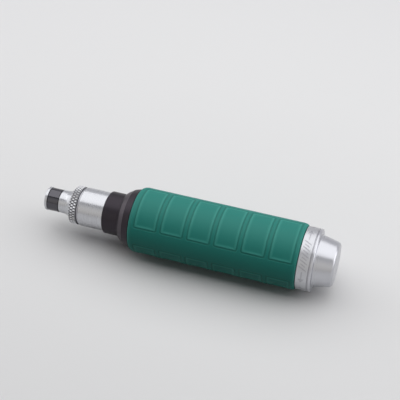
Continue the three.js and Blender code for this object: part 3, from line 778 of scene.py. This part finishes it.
# %% Lines of the grip mesh
EDGE_OFFSETS = [-0.9, -0.7, -0.55, -0.4, -0.25, -0.1, 0.05, 0.2, 0.35, 0.5, 0.65, 0.8, 0.95,
                1.1, 1.3, 1.7, 2.3]
WIDEST_ALONG, WIDEST_AROUND, WIDEST_BETWEEN = 1.5, 1.4, 1.2


def spread(low, high, widest):
    """Even places between two lines, no further apart than the widest."""
    count = max(1, ceil((high - low) / widest))
    return [low + (high - low) * i / count for i in range(count + 1)]


def panel_lines(start, end, widest):
    """Lines over one panel: crowded at both edges, even between them."""
    near = [start + o for o in EDGE_OFFSETS]
    far = [end - o for o in reversed(EDGE_OFFSETS)]
    return near + spread(near[-1], far[0], widest)[1:-1] + far


stations = []
for n in range(PANELS_ALONG):
    front = PANEL_FRONT + n * PANEL_PITCH
    stations += panel_lines(front, front + PANEL_LENGTH, WIDEST_ALONG)
stations = [s for s in stations if FRONT_RIM_LENGTH < s < GRIP_LENGTH - REAR_RIM_LENGTH]
angles = []
for n in range(PANELS_AROUND):
    left = (PANEL_TURN + n * tau / PANELS_AROUND) * GRIP_RADIUS
    angles += panel_lines(left, left + PANEL_SPAN * GRIP_RADIUS, WIDEST_AROUND)
    next_line = left + tau / PANELS_AROUND * GRIP_RADIUS + EDGE_OFFSETS[0]
    angles += spread(angles[-1], next_line, WIDEST_BETWEEN)[1:-1]
angles = [a / GRIP_RADIUS for a in angles]
print("grip lines:", len(stations), "along and", len(angles), "around")

# %% [markdown]
# Every loop of the mesh runs along the skin and back through the bore, and the loops go
# once round. The lip of each rim has a painted highlight, so it is a little paler.

# %% Build the grip
RIM_STEPS = 10


def rim(length, drop):
    """Places, falls and tones of a rounded rim, from its edge inwards."""
    points = []
    for i in range(RIM_STEPS + 1):
        t = pi / 2 * i / RIM_STEPS
        # The tone rises towards the lip as a painted highlight.
        tone = PLAIN_TONE + (RIM_HIGHLIGHT_TONE - PLAIN_TONE) * (1 - sin(t))
        points.append((length * (1 - cos(t)), drop * (1 - sin(t)), tone))
    return points


outline = rim(FRONT_RIM_LENGTH, GRIP_RADIUS - FRONT_RIM_RADIUS)
outline += [(s, 0.0, PLAIN_TONE) for s in stations]
outline += [
    (GRIP_LENGTH - s, fall, tone)
    for s, fall, tone in reversed(rim(REAR_RIM_LENGTH, GRIP_RADIUS - REAR_RIM_RADIUS))
]
loops, tones = [], []
for angle in angles:
    skins = [skin(inside_panel(s, angle)) for s, _, _ in outline]
    loops.append([
        around(s, GRIP_RADIUS - fall + height, pi / 2 - angle)
        for (s, fall, _), (height, _) in zip(outline, skins)
    ])
    loops[-1] += [around(s, GRIP_BORE, pi / 2 - angle) for s in (GRIP_LENGTH, 0)]
    tones += [tone + lip_highlight_tone - PLAIN_TONE for (_, _, lip_highlight_tone), (_, tone) in zip(outline, skins)]
    tones += [PLAIN_TONE, PLAIN_TONE]
grip = paint(join_rings("rubber_grip", loops, closed=True), green_rubber)
grip.data.attributes.new("tone", "FLOAT", "POINT").data.foreach_set("value", tones)
seat(grip, "barrel", "green_rubber", "grip_sleeve")

# %% [markdown]
# ## The nose cap
#
# The black cap screws into the front of the barrel and carries the seal that keeps grit out.
# It flares from the spindle to the rim of the grip in turned cones, with a short steep step
# between the two long ones, and a painted highlight runs over it. Its spigot is hidden in the
# barrel.

# %% Turn the nose cap
COLLAR_BORE = 12.3
NOSE_FRONT, NOSE_REAR = -8.1, -0.3
NOSE_CONES = [(NOSE_FRONT, 12.9), (-7.0, 13.9), (-4.6, 15.4), (-4.3, 15.7), (NOSE_REAR, 16.9)]
NOSE_EDGE = 0.18
CAP_HIGHLIGHT_BAND = (-7.0, -4.2, 13.7, 15.8)  # two stations and two distances from the axis
SPIGOT_END, SPIGOT_RADIUS, SPIGOT_CHAMFER = 10.4, 13.7, 0.7
SEAL_GROOVE_FRONT, SEAL_GROOVE_REAR, SEAL_GROOVE_RADIUS = -3.6, -1.0, 14.6
nose_cap = turn("nose_cap_turned", [
    (NOSE_FRONT, COLLAR_BORE), *NOSE_CONES, (NOSE_REAR, SPIGOT_RADIUS),
    (SPIGOT_END - SPIGOT_CHAMFER, SPIGOT_RADIUS), (SPIGOT_END, SPIGOT_RADIUS - SPIGOT_CHAMFER),
    (SPIGOT_END, COLLAR_BORE), (SEAL_GROOVE_REAR, COLLAR_BORE),
    (SEAL_GROOVE_REAR, SEAL_GROOVE_RADIUS), (SEAL_GROOVE_FRONT, SEAL_GROOVE_RADIUS),
    (SEAL_GROOVE_FRONT, COLLAR_BORE),
], NOSE_EDGE)
cap_drill = rod("cap_drill", LOCK_HOLE_RADIUS, LOCK_HOLE_FLOOR, PAST_BARREL, LOCK_STATION, pi)
carve(nose_cap, [cap_drill])
paint(nose_cap, black_oxide)
# The band over the step is a painted highlight.
finish_band(nose_cap, cap_painted_highlight, *CAP_HIGHLIGHT_BAND)
seat(nose_cap, "barrel", "blackened_steel", "nose_cap")

# %% [markdown]
# ## The spindle
#
# One bar of steel makes the half-inch drive square, the collar that shows behind the holder,
# the journal, the stop flange and the tail with the cross pin. The square's corners were
# turned down first, so they follow a circle. It is a stack of equal sections that shrink at
# the tip.

# %% Sections with flats
SQUARE_HALF, SQUARE_CORNER_RADIUS, SQUARE_EDGE = 6.35, 8.3, 0.8
SQUARE_TIP, SQUARE_REAR = -32.7, -5.0
CORNER_POINTS = 6


def square_section(half, corner_radius):
    """A square of (across, above) points whose corners follow a circle."""
    first = asin(half / corner_radius) - pi / 4
    section = []
    for quarter in range(4):
        for i in range(CORNER_POINTS + 1):
            t = pi / 4 + quarter * pi / 2 - first + 2 * first * i / CORNER_POINTS
            section.append((corner_radius * cos(t), corner_radius * sin(t)))
    return section


def bar(name, sections):
    """A bar through (station, section) pairs, closed at both ends."""
    rings = [[place(s, y, z) for y, z in section] for s, section in sections]
    first, last = place(sections[0][0]), place(sections[-1][0])
    return join_rings(name, [[first], *rings, [last]])


def drive_square(name, half, corner_radius, front, rear):
    """A square bar with a chamfer at its front end."""
    tip = square_section(half - SQUARE_EDGE, corner_radius - SQUARE_EDGE)
    full = square_section(half, corner_radius)
    return bar(name, [(front, tip), (front + SQUARE_EDGE, full), (rear, full)])


print("square section has", len(square_section(SQUARE_HALF, SQUARE_CORNER_RADIUS)), "points")

# %% [markdown]
# The turned bar and the square are joined first. The hole for the cross pin and the pocket
# for the detent are drilled through the joined bar, in the order of the real work.

# %% Build the spindle
COLLAR_FRONT, COLLAR_REAR, COLLAR_RADIUS = -17.3, -0.3, 12.0
FLANGE_FRONT, FLANGE_REAR, FLANGE_RADIUS = 22.4, 25.4, 12.3
JOURNAL_RADIUS, SPINDLE_EDGE = 10.0, 0.5
TAIL_END, TAIL_RADIUS, TAIL_CHAMFER = 56.5, 8.0, 1.0
PIN_STATION, PIN_HOLE_RADIUS = 38.6, 3.1
DETENT_STATION, DETENT_POCKET_RADIUS, DETENT_FLOOR = -25.8, 1.9, -2.15
DRILL_REACH = 10.0
spindle = turn("spindle_turned", [
    (COLLAR_FRONT, 0), (COLLAR_FRONT, COLLAR_RADIUS), (COLLAR_REAR, COLLAR_RADIUS),
    (COLLAR_REAR, JOURNAL_RADIUS), (FLANGE_FRONT, JOURNAL_RADIUS),
    (FLANGE_FRONT, FLANGE_RADIUS), (FLANGE_REAR, FLANGE_RADIUS), (FLANGE_REAR, TAIL_RADIUS),
    (TAIL_END - TAIL_CHAMFER, TAIL_RADIUS), (TAIL_END, TAIL_RADIUS - TAIL_CHAMFER), (TAIL_END, 0),
], SPINDLE_EDGE)
square = drive_square("square", SQUARE_HALF, SQUARE_CORNER_RADIUS, SQUARE_TIP, SQUARE_REAR)
carve(spindle, [square], "UNION")
carve(spindle, [
    rod("pin_drill", PIN_HOLE_RADIUS, -DRILL_REACH, DRILL_REACH, PIN_STATION, 0),
    rod("detent_drill", DETENT_POCKET_RADIUS, DETENT_FLOOR, DRILL_REACH, DETENT_STATION, 0),
])
seat(paint(spindle, black_oxide), "spindle", "blackened_steel", "drive_spindle")

# %% [markdown]
# ## The bit holder
#
# The holder is a short socket: a hexagon for the bit in front and a square for the spindle
# behind. Its skin has a lip, a seat for the retaining band, a neck that flares out, a knurled
# ring for the fingers, a narrow groove and a plain body. Two knurling wheels with opposite
# slants press crossing ridges into the ring, so that small diamonds stand between them. Real
# ridges are about 1.4 mm apart, and they are drawn at 1.7 mm so that they still show in a
# small picture.

# %% Sizes of the holder
MOUTH, HOLDER_REAR = -54.4, -17.6
LIP_RADIUS, BAND_SEAT_RADIUS, NECK_RADIUS, HOLDER_RADIUS = 6.73, 5.73, 6.53, 11.0
BAND_SEAT_FRONT, BAND_SEAT_REAR = -52.9, -45.9
FRONT_EDGE, REAR_EDGE = 0.4, 0.45
KNURL_FRONT, KNURL_REAR, KNURL_RADIUS, KNURL_DEPTH = -37.7, -33.3, 11.08, 0.45
KNURL_TEETH, KNURL_LEAN = 40, radians(13)
KNURL_RUN_IN, KNURL_RUN_OUT = (0.2, 0.15), (0.3, 0.35)  # length and fall at each end
HOLDER_GROOVE_REAR, HOLDER_GROOVE_RADIUS = -32.3, 10.0
FLARE_START, FLARE_ROUND, FLARE_STEPS = -44.0, 8.6, 12
print("one ridge every", round(tau * KNURL_RADIUS / KNURL_TEETH, 2), "mm")

# %% [markdown]
# The whole skin is one net of points. Its rows follow the turned outline, and in the rows of
# the knurled band the radius also follows both sets of ridges. The band and the groove
# behind it get their own finishes straight away.

# %% Build the holder's skin
ROW_STEP, SAMPLES_PER_TOOTH = 0.2, 10
KNURL_ROOT = KNURL_RADIUS - KNURL_DEPTH
front_rows = soften([
    (MOUTH, 0), (MOUTH, LIP_RADIUS), (BAND_SEAT_FRONT, LIP_RADIUS),
    (BAND_SEAT_FRONT, BAND_SEAT_RADIUS), (BAND_SEAT_REAR, BAND_SEAT_RADIUS),
    (BAND_SEAT_REAR, NECK_RADIUS), (FLARE_START, NECK_RADIUS),
], FRONT_EDGE)
flare_turn = degrees(asin((KNURL_FRONT - FLARE_START) / FLARE_ROUND))
flare_middle = NECK_RADIUS + FLARE_ROUND
flare = arc(FLARE_START, flare_middle, FLARE_ROUND, -90, flare_turn - 90, FLARE_STEPS)
run_in = (KNURL_FRONT, KNURL_ROOT - KNURL_RUN_IN[1])
knurl_stations = spread(KNURL_FRONT + KNURL_RUN_IN[0], KNURL_REAR - KNURL_RUN_OUT[0], ROW_STEP)
rear_rows = soften([
    (KNURL_REAR, KNURL_ROOT - KNURL_RUN_OUT[1]), (KNURL_REAR, HOLDER_GROOVE_RADIUS),
    (HOLDER_GROOVE_REAR, HOLDER_GROOVE_RADIUS), (HOLDER_GROOVE_REAR, HOLDER_RADIUS),
    (HOLDER_REAR, HOLDER_RADIUS), (HOLDER_REAR, 0),
], REAR_EDGE)
rows = [(s, r, 0) for s, r in (*front_rows[:-1], *flare, run_in)]
rows += [(s, KNURL_ROOT, KNURL_DEPTH) for s in knurl_stations]
rows += [(s, r, 0) for s, r in rear_rows]
net_points = KNURL_TEETH * SAMPLES_PER_TOOTH
net_angles = [tau * i / net_points for i in range(net_points)]


def ridge(station, angle):
    """Height of the knurl, from 0 in a valley to 1 on the top of a diamond."""
    lean = KNURL_LEAN * (station - KNURL_FRONT) / (KNURL_REAR - KNURL_FRONT)
    return min(0.5 + 0.5 * cos(KNURL_TEETH * (angle + way * lean)) for way in (-1, 1))


holder = join_rings("bit_holder_turned", [
    [around(s, r + depth * ridge(s, a), a) for a in net_angles] if r > 0 else [place(s)]
    for s, r, depth in rows
])
paint(holder, satin_chrome)
knurled = (KNURL_ROOT - 2 * SLACK, KNURL_RADIUS)
grooved = (HOLDER_GROOVE_RADIUS - SLACK, HOLDER_RADIUS - SLACK)
finish_band(holder, knurled_chrome, KNURL_FRONT, KNURL_REAR, *knurled)
# The groove behind the knurl gets painted shade.
finish_band(holder, groove_painted_shade_steel, KNURL_REAR - SLACK, HOLDER_GROOVE_REAR, *grooved)

# %% [markdown]
# The hexagon, the square socket, the hole between them and the hole for the bit ball are cut
# afterwards, each with a cutter of its own section. The drill for the hole between them has
# an odd number of sides, so that none of its corners meets a corner of the hexagon.

# %% Cut the holder
HEX_HALF, HEX_DEPTH, HEX_EDGE = 4.1, 16.0, 0.7
THROUGH_RADIUS, THROUGH_SIDES = 2.5, 49
BIT_BALL_STATION, BIT_BALL_HOLE_RADIUS, PAST_LIP = -49.4, 1.25, 9.0
SOCKET_FLOOR, SOCKET_HALF, SOCKET_CORNER_RADIUS = -33.2, 6.65, 8.6


def hexagon(radius):
    """A hexagon of (across, above) points with a flat on top."""
    return [(radius * cos(pi / 3 * i), radius * sin(pi / 3 * i)) for i in range(6)]


hex_corner, hex_floor = HEX_HALF / cos(pi / 6), MOUTH + HEX_DEPTH
broach = bar("broach", [
    (MOUTH - OVERRUN, hexagon(hex_corner + HEX_EDGE + OVERRUN)),
    (MOUTH + HEX_EDGE, hexagon(hex_corner)), (hex_floor, hexagon(hex_corner)),
])
punch = drive_square(
    "punch", SOCKET_HALF, SOCKET_CORNER_RADIUS, SOCKET_FLOOR, HOLDER_REAR + OVERRUN,
)
drill = turn("drill", [
    (hex_floor - OVERRUN, 0), (hex_floor - OVERRUN, THROUGH_RADIUS),
    (SOCKET_FLOOR + OVERRUN, THROUGH_RADIUS), (SOCKET_FLOOR + OVERRUN, 0),
], 0, THROUGH_SIDES)
ball_drill = rod("ball_drill", BIT_BALL_HOLE_RADIUS, 0, PAST_LIP, BIT_BALL_STATION, 0)
carve(holder, [broach, punch, drill, ball_drill])
seat(holder, "holder", "chromed_steel", "bit_holder")

# %% [markdown]
# ## The retaining band
#
# A thin band of black spring steel lies in the seat behind the lip and keeps the bit ball
# down. Its section is swept round the holder from one side of its slit to the other.

# %% Sweep the band
BAND_INNER, BAND_OUTER, BAND_PLAY, BAND_EDGE = 6.03, 6.53, 0.3, 0.18
BAND_SLIT, BAND_STEPS = radians(14), 120
band_front, band_rear = BAND_SEAT_FRONT + BAND_PLAY, BAND_SEAT_REAR - BAND_PLAY
section = soften([
    (band_front, BAND_INNER), (band_front, BAND_OUTER),
    (band_rear, BAND_OUTER), (band_rear, BAND_INNER),
], BAND_EDGE, closed=True)
middle = ((BAND_SEAT_FRONT + BAND_SEAT_REAR) / 2, (BAND_INNER + BAND_OUTER) / 2)
sweep = [pi + BAND_SLIT / 2 + (tau - BAND_SLIT) * i / BAND_STEPS for i in range(BAND_STEPS + 1)]
band = join_rings("retaining_band", [
    [around(*middle, sweep[0])], *[[around(s, r, a) for s, r in section] for a in sweep],
    [around(*middle, sweep[-1])],
])
seat(paint(band, black_nickel), "holder", "black_band", "retainer_band")

# %% [markdown]
# ## Springs
#
# A compression spring is round wire swept along a helix, with one close turn at each end so
# that it stands square. The return spring shortens when the tool is struck, and the detent
# spring when its ball is pressed.


# %% Wind a spring
WIRE_POINTS, CLOSE_GAP = 12, 0.6


def coil(name, length, mean_radius, wire_radius, turns, turn_points, put):
    """Winds round wire with close end turns. put places (along, side, up) millimetres."""
    rise = length - 2 * wire_radius
    close = min(2 * wire_radius + CLOSE_GAP, rise / turns)
    open_pitch = (rise - 2 * close) / (turns - 2)
    rings = []
    for i in range(round(turns * turn_points) + 1):
        n = i / turn_points
        ends = min(n, 1) + max(0, n - (turns - 1))
        along = wire_radius + ends * close + (n - ends) * open_pitch
        ring = []
        for k in range(WIRE_POINTS):
            t = tau * k / WIRE_POINTS
            out = mean_radius + wire_radius * cos(t)
            ring.append(put(along + wire_radius * sin(t), out * sin(tau * n), out * cos(tau * n)))
        rings.append(ring)
    caps = [sum(ring, Vector()) / WIRE_POINTS for ring in (rings[0], rings[-1])]
    return join_rings(name, [[caps[0]], *rings, [caps[1]]])


SPRING_FRONT, SPRING_LENGTH, STROKE = 59.6, 30.0, 8.0
return_coil = coil(
    "return_coil", SPRING_LENGTH, mean_radius=9.7, wire_radius=1.6, turns=5.5, turn_points=40,
    put=lambda along, side, up: place(SPRING_FRONT + along, side, up),
)
seat(paint(return_coil, oil_tempered_wire), "barrel", "spring_steel", "return_spring")
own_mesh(return_coil)

# %% [markdown]
# The detent spring is the same helix, only smaller and standing upright in its pocket.

# %% Wind the detent spring
DETENT_SPRING_FLOOR, DETENT_SPRING_LENGTH, DETENT_TRAVEL = -1.85, 4.9, 0.8
detent_coil = coil(
    "detent_coil", DETENT_SPRING_LENGTH, mean_radius=1.1, wire_radius=0.2, turns=4, turn_points=24,
    put=lambda along, side, up: place(DETENT_STATION - up, side, DETENT_SPRING_FLOOR + along),
)
seat(paint(detent_coil, oil_tempered_wire), "spindle", "spring_steel", "detent_spring")
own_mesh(detent_coil)

# %% [markdown]
# ## Balls
#
# Two bearing balls click the parts into place: one in the drive square holds the holder, and
# one under the band holds the bit. A bearing ball is lapped to a mirror, so it has no marks.

# %% Set the balls
lapped_steel, _, _ = start_material(
    "lapped_bearing_steel", Base_Color=linear("#B9BABE"), Metallic=1.0, Roughness=0.12,
)
BALL_SIDES = 32


def ball(name, radius, station, above):
    """A smooth steel ball on the tool's middle plane."""
    mesh = bmesh.new()
    bmesh.ops.create_uvsphere(
        mesh, u_segments=BALL_SIDES, v_segments=BALL_SIDES // 2, radius=radius * MM,
    )
    bmesh.ops.translate(mesh, verts=mesh.verts, vec=place(station, 0, above))
    return paint(shade(make_piece(name, mesh)), lapped_steel)


detent_ball = ball("detent_bearing_ball", 1.6, DETENT_STATION, above=4.95)
seat(detent_ball, "detent", "hardened_steel", "detent_ball")
bit_ball = ball("bit_bearing_ball", 0.95, BIT_BALL_STATION, above=4.6)
seat(bit_ball, "bit_ball", "hardened_steel", "bit_ball")

# %% [markdown]
# ## Turned pieces inside
#
# The bush, the bumper, the spring seat, the thrust plate and the seal never show on the
# closed tool, but they are seen when it is taken apart. All are simple rings and discs.

# %% Turn the inner pieces
INNER_SIDES = 96
WIDE, BUSH_BORE, BUSH_COLLAR, PILOT = 12.3, 10.3, 13.7, 7.5  # radii that the pieces share
SEAL_CENTRE, SEAL_RADIUS, SEAL_SECTION, SEAL_POINTS = -2.3, 13.3, 1.0, 18
seal_turns = (180, 360 / SEAL_POINTS - 180, SEAL_POINTS - 1)
inner_pieces = [
    ("front_bush_turned", "front_bush", "barrel", "bronze", sintered_bronze, 0.3,
     [(12.2, BUSH_BORE), (12.2, BUSH_COLLAR), (14.0, BUSH_COLLAR), (14.0, WIDE), (20.2, WIDE),
      (20.2, BUSH_BORE)]),
    ("bumper_moulded", "bumper_ring", "barrel", "black_rubber", black_rubber, 0.5,
     [(20.5, BUSH_BORE), (20.5, WIDE), (22.1, WIDE), (22.1, BUSH_BORE)]),
    ("spring_seat_turned", "spring_seat", "barrel", "hardened_steel", ground_steel, 0.3,
     [(87.5, 0), (87.5, PILOT), (89.9, PILOT), (89.9, WIDE), (91.5, WIDE), (91.5, 0)]),
    ("thrust_plate_turned", "thrust_plate", "thrust_plate", "hardened_steel", ground_steel, 0.3,
     [(56.8, 0), (56.8, WIDE), (59.3, WIDE), (59.3, PILOT), (61.7, PILOT), (61.7, 0)]),
    ("nose_seal_moulded", "nose_seal", "barrel", "black_rubber", black_rubber, 0,
     arc(SEAL_CENTRE, SEAL_RADIUS, SEAL_SECTION, *seal_turns)),
]
for name, node, body, slot, material, edge, shape in inner_pieces:
    seat(paint(turn(name, shape, edge, INNER_SIDES), material), body, slot, node)

# %% [markdown]
# ## Pieces kept from the CAD
#
# The cam sleeve with its two V windows, the cross pin, the dowels, the snap ring and the lock
# screw already have their true shape. They only need their finish.

# %% Finish the kept pieces
kept = {
    "cam_sleeve": ground_steel, "cross_pin": ground_steel, "sleeve_dowel_left": ground_steel,
    "sleeve_dowel_right": ground_steel, "cap_lock_screw": black_oxide,
    "snap_ring": oil_tempered_wire,
}
for node, material in kept.items():
    paint(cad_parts[node], material)
print("kept CAD pieces:", ", ".join(kept))

# %% [markdown]
# ## What is seen and what only lights
#
# A studio is built twice over: once for what the camera and the polished metal see, and once
# for the soft light that it sends out. One value tells the two apart.


# %% Tell seen rays from lighting rays
def seen_rays(tree):
    """A value that is 1 for camera, glossy and transmission rays."""
    rays = add_node(tree, "ShaderNodeLightPath").outputs
    mirrored = add_node(
        tree, "ShaderNodeMath", {"operation": "MAXIMUM"},
        {0: rays["Is Glossy Ray"], 1: rays["Is Transmission Ray"]},
    )
    return add_node(
        tree, "ShaderNodeMath", {"operation": "MAXIMUM"},
        {0: rays["Is Camera Ray"], 1: mirrored.outputs[0]},
    ).outputs[0]


print("seen rays ready")

# %% [markdown]
# ## The studio floor
#
# The tool lies on a plain pale floor. Seen by the camera or in polished metal the floor is
# nearly white, and for the light that it throws back it is darker, so that the underside of
# the tool keeps some depth. Far from the tool it turns into an even backdrop of that tone.

# %% Lay the floor
FLOOR_SIZE, FADE_START, FADE_END = 8.0, 0.16, 0.42
BACKDROP = "#DFDFE1"
floor = add_object("floor", bpy.data.meshes.new("floor"))
corners = [(x * FLOOR_SIZE / 2, y * FLOOR_SIZE / 2, 0.0) for x, y in UNIT_SQUARE]
floor.data.from_pydata(corners, [], [(0, 1, 2, 3)])
floor_paint, floor_tree, floor_shader = start_material("matt_floor_paint", Roughness=0.9)
floor_tones = add_node(floor_tree, "ShaderNodeValToRGB", (), {"Fac": seen_rays(floor_tree)})
floor_colour = fill_ramp(floor_tones, {0: "#707070", 1: "#E2E2E3"})
floor_tree.links.new(floor_colour, floor_shader.inputs["Base Color"])
from_tool = add_node(
    floor_tree, "ShaderNodeVectorMath", {"operation": "LENGTH"},
    {0: add_node(floor_tree, "ShaderNodeTexCoord").outputs["Object"]},
)
fade = add_node(floor_tree, "ShaderNodeMapRange", (), {
    "Value": from_tool.outputs["Value"], "From Min": FADE_START, "From Max": FADE_END,
})
unlit = add_node(
    floor_tree, "ShaderNodeMath", {"operation": "MULTIPLY"},
    {0: fade.outputs["Result"], 1: seen_rays(floor_tree)},
)
glow = add_node(
    floor_tree, "ShaderNodeEmission", (), {"Color": linear(BACKDROP), "Strength": 1.0},
)
sweep_shader = add_node(
    floor_tree, "ShaderNodeMixShader", (),
    {0: unlit.outputs[0], 1: floor_shader.outputs["BSDF"], 2: glow.outputs["Emission"]},
)
floor_output = next(n for n in floor_tree.nodes if n.type == "OUTPUT_MATERIAL")
floor_tree.links.new(sweep_shader.outputs["Shader"], floor_output.inputs["Surface"])
paint(floor, floor_paint)
print("floor", FLOOR_SIZE, "m wide")

# %% [markdown]
# ## The room
#
# Chrome only looks like chrome when it has light and dark things to mirror. The room has a
# pale stripe low in front of the tool, a dark ceiling and a pale stripe low behind. Its tone
# follows the angle round the tool's axis: 0 level in front, a quarter turn straight up, half
# a turn level behind. As a lamp it is much weaker, and the camera sees the plain backdrop.

# %% Paint the room
world = bpy.data.worlds.new("studio")
bpy.context.scene.world = world
world.use_nodes = True
sky = world.node_tree
direction = add_node(sky, "ShaderNodeSeparateXYZ", (), {
    "Vector": add_node(sky, "ShaderNodeTexCoord").outputs["Generated"],
})
forward = add_node(
    sky, "ShaderNodeMath", {"operation": "MULTIPLY"}, {0: direction.outputs["Y"], 1: -1.0},
)
turn_up = add_node(
    sky, "ShaderNodeMath", {"operation": "ARCTAN2"},
    {0: direction.outputs["Z"], 1: forward.outputs[0]},
)
room_tones = add_node(sky, "ShaderNodeValToRGB", (), {
    "Fac": add_node(
        sky, "ShaderNodeMath", {"operation": "DIVIDE"}, {0: turn_up.outputs[0], 1: pi},
    ).outputs[0],
})
room = {0: "#AEACAA", 15: "#DDDAD6", 35: "#E8E6E3", 54: "#CBCBCD", 64: "#6C6C70",
        138: "#5C5C60", 146: "#B4B4B8", 157: "#D2D2D6", 175: "#D0D0D4", 180: "#C4C4C8"}
room_colour = fill_ramp(room_tones, {up / 180: colour for up, colour in room.items()})
LIGHT_SHARE = 0.12
share = add_node(
    sky, "ShaderNodeMapRange", (), {"Value": seen_rays(sky), "To Min": LIGHT_SHARE, "To Max": 1.0},
)
behind = add_node(sky, "ShaderNodeMixRGB", (), {
    "Fac": add_node(sky, "ShaderNodeLightPath").outputs["Is Camera Ray"],
    "Color1": room_colour, "Color2": linear(BACKDROP),
})
background = next(n for n in sky.nodes if n.type == "BACKGROUND")
sky.links.new(behind.outputs["Color"], background.inputs["Color"])
sky.links.new(share.outputs["Result"], background.inputs["Strength"])
print("the room has", len(room), "tones and lights at", LIGHT_SHARE, "of what is seen")

# %% [markdown]
# ## Lamps
#
# One very wide soft box hangs above and a little behind the tool, and its front edge draws
# the border between the bright upper band and the grey band below it. A weaker box at each
# end catches the rounded edges that face that way.


# %% Light the studio
def soft_box(name, spot, aim, width, depth, power):
    """A rectangular soft light at a spot, turned towards its aim."""
    lamp = bpy.data.lights.new(name, "AREA")
    lamp.shape = "RECTANGLE"
    lamp.size, lamp.size_y, lamp.energy = width, depth, power
    box = add_object(name, lamp)
    box.location = spot
    box.rotation_euler = (Vector(aim) - Vector(spot)).to_track_quat("-Z", "Y").to_euler()
    print(f"{name}: {width} x {depth} m, {power} W")


soft_box("overhead_box", (0.0, 0.42, 0.8), (0.0, 0.42, 0.0), 2.4, 1.46, 16.2)
soft_box("right_box", (1.0, 0.15, 0.34), (0.08, 0.0, 0.02), 0.8, 0.6, 2.9)
soft_box("left_box", (-1.05, 0.15, 0.42), (-0.05, 0.0, 0.02), 0.8, 0.7, 2.2)
bpy.context.scene.view_settings.view_transform = "Standard"
